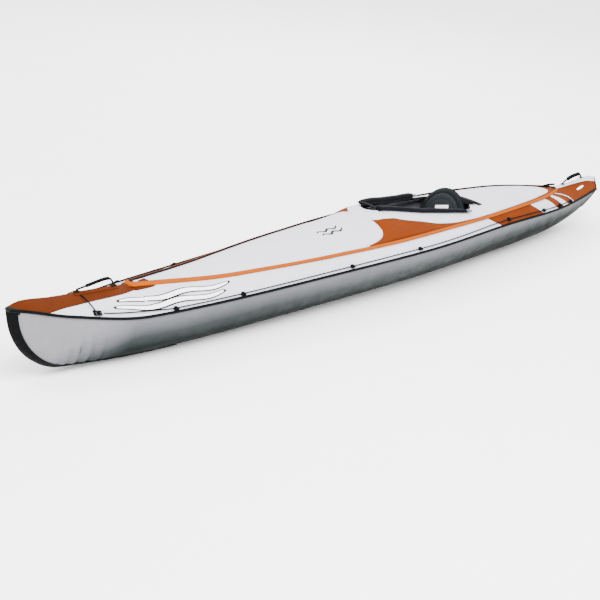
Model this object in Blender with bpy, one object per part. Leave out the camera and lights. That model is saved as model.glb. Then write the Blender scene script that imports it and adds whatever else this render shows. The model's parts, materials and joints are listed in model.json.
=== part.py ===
"""Single-seat inflatable touring kayak, 4.57 m long, as an assembly of separate pieces.

Frame: +X to the bow, +Y to port, +Z up, origin on the ground under the middle of the hull.
The hull form is a boat's table of offsets, read by smooth curves; every skin, chamber and
fitting takes its place from those curves.
"""

from math import cos, pi, radians, sin

import bmesh
import bpy
import numpy as np
from mathutils import Matrix, Vector

# ---------------------------------------------------------------- driving dimensions (metres)
LENGTH = 4.57
BOW_X = LENGTH / 2
STERN_X = -LENGTH / 2

# Table of offsets: (station, value)
HALF_BEAM = (
    (STERN_X, 0.030), (-2.20, 0.053), (-2.00, 0.112), (-1.60, 0.202), (-1.00, 0.264),
    (-0.30, 0.314), (0.50, 0.287), (1.10, 0.251), (1.60, 0.199), (2.00, 0.100),
    (2.20, 0.039), (BOW_X, 0.013),
)
GUNWALE_HEIGHT = (
    (STERN_X, 0.188), (-2.00, 0.199), (-1.60, 0.215), (-1.00, 0.241), (-0.30, 0.247),
    (0.50, 0.247), (1.10, 0.245), (1.60, 0.248), (2.00, 0.301), (2.20, 0.348), (BOW_X, 0.365),
)
BOW_SEAM = (
    (1.44, 0.0), (1.469, 0.138), (1.562, 0.213), (1.651, 0.288), (1.743, 0.338), (1.836, 0.413),
    (1.929, 0.525), (2.014, 0.663), (2.092, 0.913), (2.115, 1.0),
)
RIM_AFT_X, RIM_FORE_X = -1.840, 1.570
RIM_HALF_WIDTH = (
    (RIM_AFT_X, 0.024), (-1.785, 0.052), (-1.69, 0.087), (-1.60, 0.118), (-1.35, 0.175), (-0.76, 0.237),
    (-0.18, 0.248), (0.40, 0.208), (0.99, 0.127), (RIM_FORE_X, 0.018),
)
RIM_HEIGHT = (
    (RIM_AFT_X, 0.257), (-1.35, 0.293), (-0.76, 0.308), (0.40, 0.312), (0.99, 0.312),
    (RIM_FORE_X, 0.342),
)
RIDGE_HEIGHT = (
    (STERN_X, 0.258), (-2.20, 0.280), (-2.05, 0.270), (RIM_AFT_X, 0.260), (-1.60, 0.292),
    (-1.30, 0.318), (-0.93, 0.333), (-0.74, 0.360), (-0.43, 0.392), (-0.11, 0.430),
    (-0.03, 0.386), (0.16, 0.346), (0.60, 0.332), (1.00, 0.324), (1.30, 0.324),
    (RIM_FORE_X, 0.342), (1.88, 0.364), (2.05, 0.376), (2.22, 0.394), (BOW_X, 0.382),
)
KEEL_FLAT_X = (-0.90, 1.00)  # the keel lies flat on the ground between these stations
ROCKER = (0.060, 0.050)  # keel height at the ends, stern and bow
STEM_LENGTH = (0.748, 0.319)  # how far the rounded stems reach in, stern and bow
STEM_POWER = (1.839, 1.838)
STRIP_ANGLES = ((0.16, 0.62), (0.10, 1.52))
SECTION_POWER = (1.72, 1.91, 2.24)  # fullness of the bottom at stern, middle and bow
FLAT_SHARE = 0.14  # flat keel half width as a share of the half beam
END_CLEAR = 0.004  # the skins stop this short of the stems' tips

SKIN = 0.0025
GAP = 0.0005
SEAM = 0.008  # skins stop this far from the gunwale seam, which the piping covers
DECK_CROWN = 0.004
PIPING_RADIUS = 0.0065
RIM_HALF_BAND, RIM_HALF_THICK = 0.0135, 0.006  # the rim is a flat padded band
RIM_OUT, RIM_LIFT, RIM_TILT = 0.006, 0.002, radians(14)
RIM_CLEAR_IN, RIM_CLEAR_OUT = 0.011, 0.0225  # where the decks stop on each side of it
CHAMBER_INSET = 0.006
CHAMBER_REACH = 0.76  # the inner wall lies at this share of the rim's half width
FLOOR_TOP = 0.110

COCKPIT_FORE_X, COCKPIT_AFT_X = -0.125, -0.740  # straight edges between these stations
COCKPIT_HALF_FORE, COCKPIT_HALF_AFT = 0.052, 0.158
COCKPIT_NOSE, COCKPIT_TAIL = 0.035, 0.190  # how far the rounded ends reach beyond them

RAIL_WIDTH = 0.030
RAIL_HEIGHT = {"port": (0.0225, 0.0185), "starboard": (0.0225, 0.029)}  # fore and aft
RAIL_REACH = {"port": 1.0, "starboard": 0.87}
SEAT_HINGE = (-0.730, 0.0, 0.165)
BACKREST_HALF_WIDTH = 0.156
BACKREST_BASE, BACKREST_SPRING, BACKREST_TOP = -0.045, 0.101, 0.271  # along it from the hinge
BACKREST_THICK = 0.030
BACKREST_LEAN = radians(-20)

HANDLE_RADIUS = 0.0045
BOW_HANDLE = (1.893, 1.671, 0.030)  # front foot, rear foot, rise above the deck
STERN_HANDLE = (-1.945, -2.134, 0.036)
DRING_X = 1.862
DRING_SHARE = 0.84  # how far out on the side deck the ring lies
LINE_RADIUS = 0.0030
CLIP_X = (1.459, 1.052, 0.306, -0.215, -1.071, -1.466, -1.671, -1.836)
FOOT_BRACE_X = 0.36

STATIONS = (
    STERN_X + END_CLEAR, -2.265, -2.23, -2.16, -2.06, -1.96, -1.885, -1.80, -1.70, -1.58, -1.46,
    -1.32, -1.14, -0.95, -0.76, -0.50, -0.20, 0.10, 0.40, 0.70, 1.00, 1.22, 1.40, 1.59,
    1.72, 1.85, 1.97, 2.06, 2.14, 2.20, 2.24, 2.265, BOW_X - END_CLEAR,
)

MATERIALS = {
    "hull_grey": ((0.36, 0.38, 0.37), 0.55, 0.0),
    "deck_white": ((0.80, 0.80, 0.84), 0.70, 0.0),
    "deck_brown": ((0.50, 0.15, 0.03), 0.70, 0.0),
    "rim_orange": ((0.85, 0.27, 0.05), 0.60, 0.0),
    "rubber_black": ((0.012, 0.012, 0.016), 0.60, 0.0),
    "web_black": ((0.015, 0.015, 0.022), 0.80, 0.0),
    "pad_black": ((0.020, 0.022, 0.032), 0.75, 0.0),
    "seat_grey": ((0.040, 0.048, 0.050), 0.85, 0.0),
    "panel_grey": ((0.085, 0.095, 0.105), 0.85, 0.0),
    "label_white": ((0.80, 0.80, 0.80), 0.50, 0.0),
    "chamber_grey": ((0.22, 0.22, 0.24), 0.60, 0.0),
    "plastic_black": ((0.015, 0.015, 0.017), 0.40, 0.0),
    "plastic_grey": ((0.25, 0.26, 0.28), 0.40, 0.0),
    "steel": ((0.55, 0.56, 0.58), 0.30, 1.0),
}


# ---------------------------------------------------------------- curves of the hull form
def smooth(table, x):
    """A curve through a table's points that doesn't overshoot between them."""
    stations, values = np.array(table).T
    steps = np.diff(stations)
    grades = np.diff(values) / steps
    slopes = np.zeros(len(values))
    slopes[0], slopes[-1] = grades[0], grades[-1]
    for i in range(1, len(values) - 1):
        if grades[i - 1] * grades[i] > 0:
            near, far = 2 * steps[i] + steps[i - 1], steps[i] + 2 * steps[i - 1]
            slopes[i] = (near + far) / (near / grades[i - 1] + far / grades[i])
    i = int(np.clip(np.searchsorted(stations, x) - 1, 0, len(steps) - 1))
    u = min(max((x - stations[i]) / steps[i], 0.0), 1.0)
    start, end = values[i], values[i + 1]
    rise = steps[i] * (slopes[i] * u * (1 - u) ** 2 - slopes[i + 1] * u * u * (1 - u))
    return float(start + (end - start) * u * u * (3 - 2 * u) + rise)


def half_beam(x):
    return smooth(HALF_BEAM, x)


def gunwale(x):
    return smooth(GUNWALE_HEIGHT, x)


def ridge(x):
    return smooth(RIDGE_HEIGHT, x)


def end_of(x):
    """Which end a station belongs to: 0 for the stern, 1 for the bow."""
    return 1 if x > 0 else 0


def rocker(x):
    end = end_of(x)
    sign = 1 if end else -1
    beyond = sign * (x - KEEL_FLAT_X[end]) / (sign * ((BOW_X, STERN_X)[1 - end] - KEEL_FLAT_X[end]))
    return ROCKER[end] * max(0.0, beyond) ** 2


def stem_point(end, angle):
    """A point of the stem's outline: angle 0 at the gunwale tip, pi/2 where it meets the keel."""
    sign, tip = (1, BOW_X) if end else (-1, STERN_X)
    root = tip - sign * STEM_LENGTH[end]
    share = 2 / STEM_POWER[end]
    x = root + sign * STEM_LENGTH[end] * max(cos(angle), 0.0) ** share
    low, high = rocker(root), gunwale(tip)
    return x, high - (high - low) * sin(angle) ** share


def keel(x):
    end = end_of(x)
    sign, tip = (1, BOW_X) if end else (-1, STERN_X)
    root = tip - sign * STEM_LENGTH[end]
    u = sign * (x - root) / STEM_LENGTH[end]
    if u <= 0:
        return rocker(x)
    power = STEM_POWER[end]
    low, high = rocker(root), gunwale(tip)
    stem = high - (high - low) * max(1 - min(u, 1.0) ** power, 0.0) ** (1 / power)
    return max(stem, low)


def section_power(x):
    return float(np.interp(x, (STERN_X, 0, BOW_X), SECTION_POWER))


def flat_half(x):
    return FLAT_SHARE * half_beam(x)


def bottom_height(x, y, inset=0.0):
    """Height of the bottom skin at a distance y from the centre plane."""
    beam, flat, power = half_beam(x) - inset, flat_half(x), section_power(x)
    low = keel(x) + inset
    share = min(max((abs(y) - flat) / (beam - flat), 0.0), 1.0)
    return gunwale(x) - (gunwale(x) - low) * (1 - share ** power) ** (1 / power)


def half_breadth(x, z):
    """Half width of the bottom skin at a height."""
    power, low, high = section_power(x), keel(x), gunwale(x)
    share = min(max((high - z) / max(high - low, 1e-6), 0.0), 1.0)
    flat = flat_half(x) if share < 1 else 0.0
    return flat + (half_beam(x) - flat) * (1 - share ** power) ** (1 / power)


def rim_half(x):
    """Half width of the rim loop, rounded where it closes at each end."""
    if not RIM_AFT_X < x < RIM_FORE_X:
        return 0.0
    return smooth(RIM_HALF_WIDTH, x)


def rim_height(x):
    return smooth(RIM_HEIGHT, x)


def deck_point(x, share, drop=0.0):
    """A point of the outer deck: share 0 at the rim or the ridge, 1 at the gunwale."""
    inner = rim_half(x)
    top = rim_height(x) if inner else ridge(x)
    y = inner + (half_beam(x) - inner) * share
    z = top + (gunwale(x) - top) * share + DECK_CROWN * 4 * share * (1 - share)
    return y, z - drop


def cover_height(x, y):
    """Height of the crowned cover that closes the hull inside the rim."""
    width = max(rim_half(x), 0.02)
    share = min(abs(y) / width, 1.0)
    return rim_height(x) + (ridge(x) - rim_height(x)) * (1 - share * share)


def cockpit_half(x):
    """Half width of the cockpit opening at a station."""
    if x > COCKPIT_FORE_X:
        reach = min((x - COCKPIT_FORE_X) / COCKPIT_NOSE, 1.0)
        return COCKPIT_HALF_FORE * (1 - reach * reach) ** 0.5
    if x < COCKPIT_AFT_X:
        reach = min((COCKPIT_AFT_X - x) / COCKPIT_TAIL, 1.0)
        return COCKPIT_HALF_AFT * (1 - reach * reach) ** 0.5
    share = (COCKPIT_FORE_X - x) / (COCKPIT_FORE_X - COCKPIT_AFT_X)
    return COCKPIT_HALF_FORE + (COCKPIT_HALF_AFT - COCKPIT_HALF_FORE) * share


# ---------------------------------------------------------------- making objects
def clear_scene():
    for old in list(bpy.data.objects):
        bpy.data.objects.remove(old, do_unlink=True)


def material(name):
    colour, rough, metal = MATERIALS[name]
    made = bpy.data.materials.get(name) or bpy.data.materials.new(name)
    made.use_nodes = True
    shader = made.node_tree.nodes["Principled BSDF"]
    shader.inputs["Base Color"].default_value = (*colour, 1)
    shader.inputs["Roughness"].default_value = rough
    shader.inputs["Metallic"].default_value = metal
    return made


def add_mesh(name, bm, slot, origin=(0, 0, 0)):
    """Makes the object from a bmesh in world coordinates, with its origin where asked."""
    bmesh.ops.recalc_face_normals(bm, faces=bm.faces)
    bmesh.ops.translate(bm, verts=bm.verts, vec=-Vector(origin))
    mesh = bpy.data.meshes.new(name)
    bm.to_mesh(mesh)
    bm.free()
    mesh.materials.append(material(slot))
    made = bpy.data.objects.new(name, mesh)
    made.location = origin
    bpy.context.collection.objects.link(made)
    return made


def add_bevel(made, width, segments=1):
    bevel = made.modifiers.new("edges", "BEVEL")
    bevel.width = width
    bevel.segments = segments
    bevel.limit_method = "ANGLE"
    return made


def loft(bm, rings):
    """A solid through closed rings of points, flat at both ends."""
    rows = [[bm.verts.new(point) for point in ring] for ring in rings]
    for low, high in zip(rows, rows[1:]):
        for i in range(len(low)):
            j = (i + 1) % len(low)
            bm.faces.new((low[i], low[j], high[j], high[i]))
    bm.faces.new(rows[0][::-1])
    bm.faces.new(rows[-1])


def thick_sheet(bm, outer, inner, round_trip=False):
    """A thin solid between two equal grids of points; round_trip closes the rows on themselves."""
    layers = [[[bm.verts.new(p) for p in row] for row in grid] for grid in (outer, inner)]
    count, width = len(outer), len(outer[0])
    last = count if round_trip else count - 1
    for layer in layers:
        for i in range(last):
            here, there = layer[i], layer[(i + 1) % count]
            for j in range(width - 1):
                bm.faces.new((here[j], here[j + 1], there[j + 1], there[j]))
    top, under = layers
    for i in range(last):
        k = (i + 1) % count
        for j in (0, width - 1):
            bm.faces.new((top[i][j], top[k][j], under[k][j], under[i][j]))
    if not round_trip:
        for i in (0, count - 1):
            for j in range(width - 1):
                bm.faces.new((top[i][j], top[i][j + 1], under[i][j + 1], under[i][j]))


def add_tube(name, points, radius, slot, closed=False, sides=2):
    """A round cord or piping along its points."""
    curve = bpy.data.curves.new(name, "CURVE")
    curve.dimensions = "3D"
    curve.bevel_depth = radius
    curve.bevel_resolution = sides
    curve.use_fill_caps = True
    curve.materials.append(material(slot))
    spline = curve.splines.new("POLY")
    spline.points.add(len(points) - 1)
    for slot_point, point in zip(spline.points, points):
        slot_point.co = (*point, 1)
    spline.use_cyclic_u = closed
    made = bpy.data.objects.new(name, curve)
    bpy.context.collection.objects.link(made)
    return made


def box_at(bm, centre, size, turn=None):
    """A block of a given size; turn is an optional rotation matrix."""
    place = Matrix.Translation(centre) @ (turn or Matrix()) @ Matrix.Diagonal((*size, 1))
    bmesh.ops.create_cube(bm, size=1, matrix=place)


def turned(bm, profile, steps, axis_point, axis):
    """A ring or a button turned from a (radius, height) profile about an axis."""
    rotation = Vector((0, 0, 1)).rotation_difference(Vector(axis)).to_matrix()
    rows = []
    for k in range(steps):
        angle = 2 * pi * k / steps
        ring = []
        for radius, height in profile:
            local = Vector((radius * cos(angle), radius * sin(angle), height))
            ring.append(bm.verts.new(rotation @ local + Vector(axis_point)))
        rows.append(ring)
    count = len(profile)
    for k in range(steps):
        here, there = rows[k], rows[(k + 1) % steps]
        for i in range(count):
            j = (i + 1) % count
            bm.faces.new((here[i], here[j], there[j], there[i]))


def disc(bm, radius, low, high, steps, axis_point, axis):
    """A plain button about an axis."""
    rotation = Vector((0, 0, 1)).rotation_difference(Vector(axis)).to_matrix()
    rings = []
    for height in (low, high):
        ring = []
        for k in range(steps):
            angle = 2 * pi * k / steps
            local = Vector((radius * cos(angle), radius * sin(angle), height))
            ring.append(rotation @ local + Vector(axis_point))
        rings.append(ring)
    loft(bm, rings)


# ---------------------------------------------------------------- hull skins
def bottom_section(x, inset):
    """Points of the bottom skin from the port seam under the keel to the starboard seam."""
    beam, flat, power = half_beam(x) - inset, flat_half(x), section_power(x)
    low, high = keel(x) + inset, gunwale(x)
    start = np.arcsin(min(SEAM / (high - low), 1.0) ** (power / 2))
    port = []
    for angle in np.linspace(start, pi / 2, 8):
        y = flat + (beam - flat) * max(cos(angle), 0.0) ** (2 / power)
        port.append((x, y, high - (high - low) * sin(angle) ** (2 / power)))
    middle = [(x, 0.0, low)]
    return port + middle + [(x, -y, z) for _, y, z in port[::-1]]


def hull_bottom():
    bm = bmesh.new()
    outer = [bottom_section(x, 0.0) for x in STATIONS]
    inner = [bottom_section(x, SKIN) for x in STATIONS]
    thick_sheet(bm, outer, inner)
    return add_mesh("hull_bottom", bm, "hull_grey")


def deck_seam(x):
    """Share of the way out where the side deck's front edge meets the bow deck."""
    return smooth(BOW_SEAM, x)


def inner_share(x):
    """Share where the outer deck starts, clear of the rim."""
    width = half_beam(x) - rim_half(x)
    clear = RIM_CLEAR_OUT + 0.4 * max(-1.80 - x, 0.0)
    return clear / width if rim_half(x) else 0.0


def outer_share(x):
    """Share where the outer deck stops, short of the gunwale seam."""
    return 1 - SEAM / max(half_beam(x) - rim_half(x), 0.012)


def deck_strip(side, stations, start, stop):
    """Two grids of points for a strip of the outer deck on one side."""
    grids = []
    for drop in (0.0, SKIN):
        grid = []
        for x in stations:
            row = []
            for share in np.linspace(start(x), stop(x), 4):
                y, z = deck_point(x, share, drop)
                row.append((x, side * y, z))
            grid.append(row)
        grids.append(grid)
    return grids


def side_deck(name, side):
    bm = bmesh.new()
    stations = [x for x in STATIONS if RIM_AFT_X < x <= 2.07]
    stations.insert(0, RIM_AFT_X + 0.006)
    edge = 0.012

    def start(x):
        seam = deck_seam(x)
        return seam + edge if seam else inner_share(x)

    thick_sheet(bm, *deck_strip(side, stations, start, outer_share))
    return add_mesh(name, bm, "deck_white")


def bow_deck():
    """The peaked bow deck, from the seam with the side decks to the stem."""
    stations = [x for x in STATIONS if RIM_FORE_X < x <= 2.24]
    grids = []
    for drop in (0.0, SKIN):
        grid = []
        for x in stations:
            seam = min(deck_seam(x), outer_share(x))
            port = [(x, *deck_point(x, share, drop)) for share in np.linspace(seam, 0.0, 5)]
            grid.append(port + [(a, -y, z) for a, y, z in port[-2::-1]])
        grids.append(grid)
    bm = bmesh.new()
    thick_sheet(bm, *grids)
    return add_mesh("bow_deck", bm, "deck_brown")


def stern_deck():
    """The stern deck, behind the rim loop."""
    stations = [x for x in STATIONS if x < RIM_AFT_X] + [RIM_AFT_X - 0.022]
    grids = []
    for drop in (0.0, SKIN):
        grid = []
        for x in stations:
            port = [(x, *deck_point(x, s, drop)) for s in np.linspace(outer_share(x), 0.0, 5)]
            grid.append(port + [(a, -y, z) for a, y, z in port[-2::-1]])
        grids.append(grid)
    bm = bmesh.new()
    thick_sheet(bm, *grids)
    return add_mesh("stern_deck", bm, "deck_brown")


def rim_path():
    """The rim loop's points, port side forward and starboard side back."""
    stations = [x for x in STATIONS if RIM_AFT_X < x < RIM_FORE_X - 0.001]
    port = [(x, rim_half(x), rim_height(x)) for x in stations]
    nose = rim_end(port[-1][0], RIM_FORE_X, port[-1][1])
    tail = rim_end(port[0][0], RIM_AFT_X, port[0][1])
    starboard = [(x, -y, z) for x, y, z in port[::-1]]
    return port + nose + starboard + tail[::-1]


def rim_end(start, tip, half):
    """The rounded end of the loop, from port to starboard."""
    points = []
    for angle in np.linspace(0.2 * pi, 0.8 * pi, 4):
        x = start + (tip - start) * sin(angle)
        points.append((x, half * cos(angle), rim_height(x)))
    return points


def rim_welt():
    """The padded band that stands along the rim, tilted like the side deck."""
    path = rim_path()
    count = len(path)
    rows = []
    bm = bmesh.new()
    for i, point in enumerate(path):
        ahead = Vector(path[(i + 1) % count]) - Vector(path[i - 1])
        out = Vector((-ahead.y, ahead.x, 0)).normalized()
        centre = Vector(point) + out * RIM_OUT + Vector((0, 0, RIM_LIFT))
        wide = out * cos(RIM_TILT) - Vector((0, 0, sin(RIM_TILT)))
        high = out * sin(RIM_TILT) + Vector((0, 0, cos(RIM_TILT)))
        ring = []
        for k in range(8):
            angle = 2 * pi * k / 8
            ring.append(bm.verts.new(
                centre + wide * RIM_HALF_BAND * cos(angle) + high * RIM_HALF_THICK * sin(angle)))
        rows.append(ring)
    for i in range(count):
        here, there = rows[i], rows[(i + 1) % count]
        for k in range(8):
            bm.faces.new((here[k], here[(k + 1) % 8], there[(k + 1) % 8], there[k]))
    return add_mesh("rim_welt", bm, "rim_orange")


def cockpit_outline(count, margin=0.0):
    """Points round the cockpit opening, from the nose round the port side to the tail and back."""
    nose, tail = COCKPIT_FORE_X + COCKPIT_NOSE, COCKPIT_AFT_X - COCKPIT_TAIL
    middle, reach = 0.5 * (nose + tail), 0.5 * (nose - tail)
    points = []
    for k in range(count):
        angle = 2 * pi * k / count
        x = middle + reach * cos(angle)
        half = cockpit_half(x)
        side = 1 if sin(angle) >= 0 else -1
        out = margin * Vector((cos(angle), sin(angle)))
        points.append((x + out.x, side * half + out.y))
    return points


def loop_outline(count, margin):
    """Points round the rim loop's inner edge, paired with the cockpit's points."""
    fore, aft = RIM_FORE_X - margin - 0.012, RIM_AFT_X + margin + 0.004
    middle, reach = 0.5 * (fore + aft), 0.5 * (fore - aft)
    points = []
    for k in range(count):
        angle = 2 * pi * k / count
        x = middle + reach * cos(angle)
        half = max(rim_half(x) - margin, 0.0) if abs(sin(angle)) > 1e-6 else 0.0
        points.append((x, half if sin(angle) >= 0 else -half))
    return points


def deck_cover():
    """The cover inside the rim, with the cockpit opening through it."""
    count = 48
    edge = cockpit_outline(count, 0.001)
    loop = loop_outline(count, RIM_CLEAR_IN)
    grids = []
    for drop in (0.0, SKIN):
        grid = []
        for (ax, ay), (bx, by) in zip(edge, loop):
            row = []
            for share in (0.0, 0.06, 0.16, 0.32, 0.55, 0.78, 1.0):
                x, y = ax + (bx - ax) * share, ay + (by - ay) * share
                row.append((x, y, cover_height(x, y) - drop))
            grid.append(row)
        grids.append(grid)
    bm = bmesh.new()
    thick_sheet(bm, *grids, round_trip=True)
    return add_mesh("deck_cover", bm, "deck_white")


def sweep(bm, points, radius, sides=8):
    """A round bar along its points, closed at both ends."""
    rings = []
    for i, point in enumerate(points):
        ahead = Vector(points[min(i + 1, len(points) - 1)]) - Vector(points[max(i - 1, 0)])
        across = ahead.cross(Vector((0, 0, 1))).normalized()
        up = across.cross(ahead).normalized()
        ring = []
        for k in range(sides):
            angle = 2 * pi * k / sides
            ring.append(Vector(point) + radius * (cos(angle) * across + sin(angle) * up))
        rings.append(ring)
    loft(bm, rings)


def gunwale_piping(name, side):
    """The piping over the gunwale seam, with the guides for the perimeter line moulded on it."""
    bm = bmesh.new()
    sweep(bm, [(x, side * (half_beam(x) + 0.001), gunwale(x)) for x in STATIONS], PIPING_RADIUS)
    made = add_mesh(name, bm, "rubber_black")
    bm = bmesh.new()
    for x in CLIP_X:
        ahead = half_beam(x + 0.02) - half_beam(x - 0.02)
        turn = Matrix.Rotation(side * ahead / 0.04, 4, "Z")
        centre = (x, side * (half_beam(x) + 0.001), gunwale(x) + 0.006)
        box_at(bm, centre, (0.022, 0.010, 0.020), turn)
    guides = add_mesh(name + "_guides", bm, "rubber_black")
    guides.hide_render = True
    guides.display_type = "WIRE"
    union = made.modifiers.new("guides", "BOOLEAN")
    union.operation = "UNION"
    union.object = guides
    return made


# ---------------------------------------------------------------- stems
def stem_grid(end, reaches, steps, lift, spread):
    """Rows down the stem; each runs from the port edge round the stem to the starboard edge."""
    sign = 1 if end else -1
    rows = []
    angles = np.linspace(*STRIP_ANGLES[end], steps)
    for angle in angles:
        x, z = stem_point(end, angle)
        ahead = Vector(stem_point(end, angle + 0.01)) - Vector((x, z))
        inward = Vector((-abs(ahead.y), abs(ahead.x))).normalized()
        inward.x *= sign
        half = []
        reach = reaches[0] + (reaches[1] - reaches[0]) * angle / (pi / 2)
        for share in (1.0, 0.6, 0.3, 0.1):
            px, pz = x + inward.x * reach * share, z + inward.y * reach * share
            half.append((px, half_breadth(px, pz) + spread, pz))
        nose = (x - inward.x * lift, 0.0, z - inward.y * lift)
        half.append((nose[0], flat_half(x) + spread * 0.5, nose[2]))
        rows.append(half + [nose] + [(a, -b, d) for a, b, d in half[::-1]])
    return rows


def stem_strip(name, end, reaches, steps):
    """A rubbing strip folded round the stem."""
    inner = stem_grid(end, reaches, steps, 0.003, 0.003)
    outer = stem_grid(end, reaches, steps, 0.006, 0.0055)
    bm = bmesh.new()
    thick_sheet(bm, outer, inner)
    return add_mesh(name, bm, "rubber_black")


def keel_line():
    """The narrow bead that carries the bow strip on along the keel."""
    rings = []
    for x in np.linspace(1.38, 1.93, 8):
        low = keel(x) - GAP
        thick = 0.0025
        rings.append([(x, -0.006, low), (x, 0.006, low), (x, 0.003, low - thick), (x, -0.003, low - thick)])
    bm = bmesh.new()
    loft(bm, rings)
    return add_mesh("keel_line", bm, "rubber_black")


def bow_cap():
    """The moulded cap over the top of the stem, in front of the bow deck."""
    rings = []
    for x, half in ((2.243, 0.024), (2.268, 0.017), (2.2875, 0.010)):
        low, high = gunwale(x) + 0.0085, ridge(x) + 0.0015
        rings.append([(x, -half, low), (x, half, low), (x, half * 0.8, 0.5 * (low + high)),
                      (x, half * 0.25, high), (x, -half * 0.25, high), (x, -half * 0.8, 0.5 * (low + high))])
    bm = bmesh.new()
    loft(bm, rings)
    return add_mesh("bow_cap", bm, "plastic_black")


# ---------------------------------------------------------------- chambers and floor
def chamber_wall(x):
    """Distance of the chamber's inner wall from the centre plane."""
    return max(CHAMBER_REACH * rim_half(x) - 0.012, 0.012)


def chamber_ring(x, side):
    wall = chamber_wall(x)
    top = (rim_height(x) if rim_half(x) else ridge(x)) - 0.018
    beam = half_beam(x)
    points = [(wall, top)]
    for share in (0.35, 0.65, 0.88):
        y, z = deck_point(x, share, CHAMBER_INSET + 0.006 * (1 - share))
        points.append((max(y, wall + 0.004), z))
    seat = max(bottom_height(x, wall), keel(x)) + CHAMBER_INSET + 0.003
    high = gunwale(x)
    for share in (0.22, 0.45, 0.68, 0.86):
        z = high + (seat - high) * share
        points.append((max(half_breadth(x, z - CHAMBER_INSET) - CHAMBER_INSET, wall + 0.003), z))
    points.append((wall, seat + 0.001))
    return [(x, side * y, z) for y, z in points]


def side_chamber(name, side):
    stations = [x for x in STATIONS if -2.00 < x < 2.07]
    bm = bmesh.new()
    loft(bm, [chamber_ring(x, side) for x in stations])
    return add_mesh(name, bm, "chamber_grey")


def floor_ring(x):
    wall = chamber_wall(x) - 0.002
    seat = bottom_height(x, wall) + CHAMBER_INSET
    port = [(wall, FLOOR_TOP), (wall, min(seat, FLOOR_TOP - 0.01))]
    for share in (0.66, 0.33):
        y = wall * share
        port.append((y, min(bottom_height(x, y) + CHAMBER_INSET, FLOOR_TOP - 0.012)))
    return [(x, y, z) for y, z in port] + [(x, -y, z) for y, z in port[::-1]]


def floor_board():
    stations = [x for x in STATIONS if -1.70 < x < 1.30]
    bm = bmesh.new()
    loft(bm, [floor_ring(x) for x in stations])
    return add_mesh("floor_board", bm, "chamber_grey")


# ---------------------------------------------------------------- cockpit
def rail_line(share):
    """A point on the cockpit's edge where the padded rail sits."""
    x = COCKPIT_FORE_X + (COCKPIT_AFT_X - 0.015 - COCKPIT_FORE_X) * share
    return x, COCKPIT_HALF_FORE + (COCKPIT_HALF_AFT - COCKPIT_HALF_FORE) * share + 0.012


def cockpit_rail(name, side, reach, heights):
    """A padded rail on the cockpit's edge."""
    rings = []
    for share in np.linspace(0, reach, 7):
        x, y = rail_line(share)
        inner, outer = y - RAIL_WIDTH / 2, y + RAIL_WIDTH / 2
        height = heights[0] + (heights[1] - heights[0]) * share
        base = max(cover_height(x, inner), cover_height(x, outer), cover_height(x, y)) + 0.0035
        ring = [
            (inner, base), (outer, cover_height(x, outer) + 0.0035),
            (outer + 0.002, base + height * 0.5), (outer - 0.006, base + height),
            (inner + 0.006, base + height), (inner - 0.002, base + height * 0.5),
        ]
        rings.append([(x, side * a, b) for a, b in ring])
    bm = bmesh.new()
    loft(bm, rings)
    return add_mesh(name, bm, "pad_black")


def cockpit_hem():
    """The bound edge inside the opening."""
    path = [(x, y, cover_height(x, y) - 0.0045) for x, y in cockpit_outline(36, -0.0075)]
    return add_tube("cockpit_hem", path, 0.0035, "web_black", closed=True, sides=1)


def rail_strap():
    """The short webbing that joins the rails' front ends."""
    x, y = rail_line(0.0)
    base = cover_height(x + 0.025, 0.0) + 0.014
    outer, inner = [], []
    for k in range(7):
        share = -1 + 2 * k / 6
        height = base + 0.006 * (1 - share * share)
        row = [(x + 0.008, share * y, height), (x + 0.030, share * y, height)]
        outer.append([(a, b, c + 0.003) for a, b, c in row])
        inner.append(row)
    bm = bmesh.new()
    thick_sheet(bm, outer, inner)
    return add_mesh("rail_strap", bm, "web_black")


def rail_buckle(name, side, reach):
    """The buckle at a rail's aft end."""
    x, y = rail_line(reach)
    bm = bmesh.new()
    centre = (x - 0.028, side * (y + 0.004), cover_height(x - 0.028, y) + 0.014)
    box_at(bm, centre, (0.036, 0.026, 0.010))
    return add_bevel(add_mesh(name, bm, "plastic_grey"), 0.003)


def seat_cushion():
    """The padded seat base on the floor."""
    rings = []
    half = 0.160
    for x, lift in ((-0.690, 0.034), (-0.675, 0.044), (-0.50, 0.040), (-0.355, 0.044), (-0.340, 0.034)):
        base = FLOOR_TOP + GAP
        ring = [(-half + 0.004, base), (half - 0.004, base), (half, base + lift * 0.5),
                (half - 0.014, base + lift), (-half + 0.014, base + lift), (-half, base + lift * 0.5)]
        rings.append([(x, y, z) for y, z in ring])
    bm = bmesh.new()
    loft(bm, rings)
    return add_mesh("seat_cushion", bm, "seat_grey")


def arch(half, low, spring, top, steps=12):
    """An arched outline, straight sided up to the spring line."""
    points = [(half * 0.94, low), (half, spring)]
    for k in range(1, steps):
        angle = pi * k / steps
        points.append((half * cos(angle), spring + (top - spring) * sin(angle)))
    return points + [(-half, spring), (-half * 0.94, low)]


def plate(name, outline, front, back, slot, inset=0.0):
    """A plate across the boat on the backrest, from its outline seen from the bow."""
    centre = Vector((0, 0, 0.5 * (outline[0][1] + max(z for _, z in outline))))
    lean = Matrix.Rotation(BACKREST_LEAN, 4, "Y")
    rings = []
    for x, shrink in ((back, inset), (back + inset, 0.0), (front - inset, 0.0), (front, inset)):
        ring = []
        for y, z in outline:
            out = Vector((0, y, z - centre.z))
            scale = 1 - shrink / out.length
            point = Vector((x, y * scale, centre.z + (z - centre.z) * scale))
            ring.append(lean @ point + Vector(SEAT_HINGE))
        rings.append(ring)
    if not inset:
        rings = [rings[0], rings[-1]]
    bm = bmesh.new()
    loft(bm, rings)
    return add_mesh(name, bm, slot, SEAT_HINGE)


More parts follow.
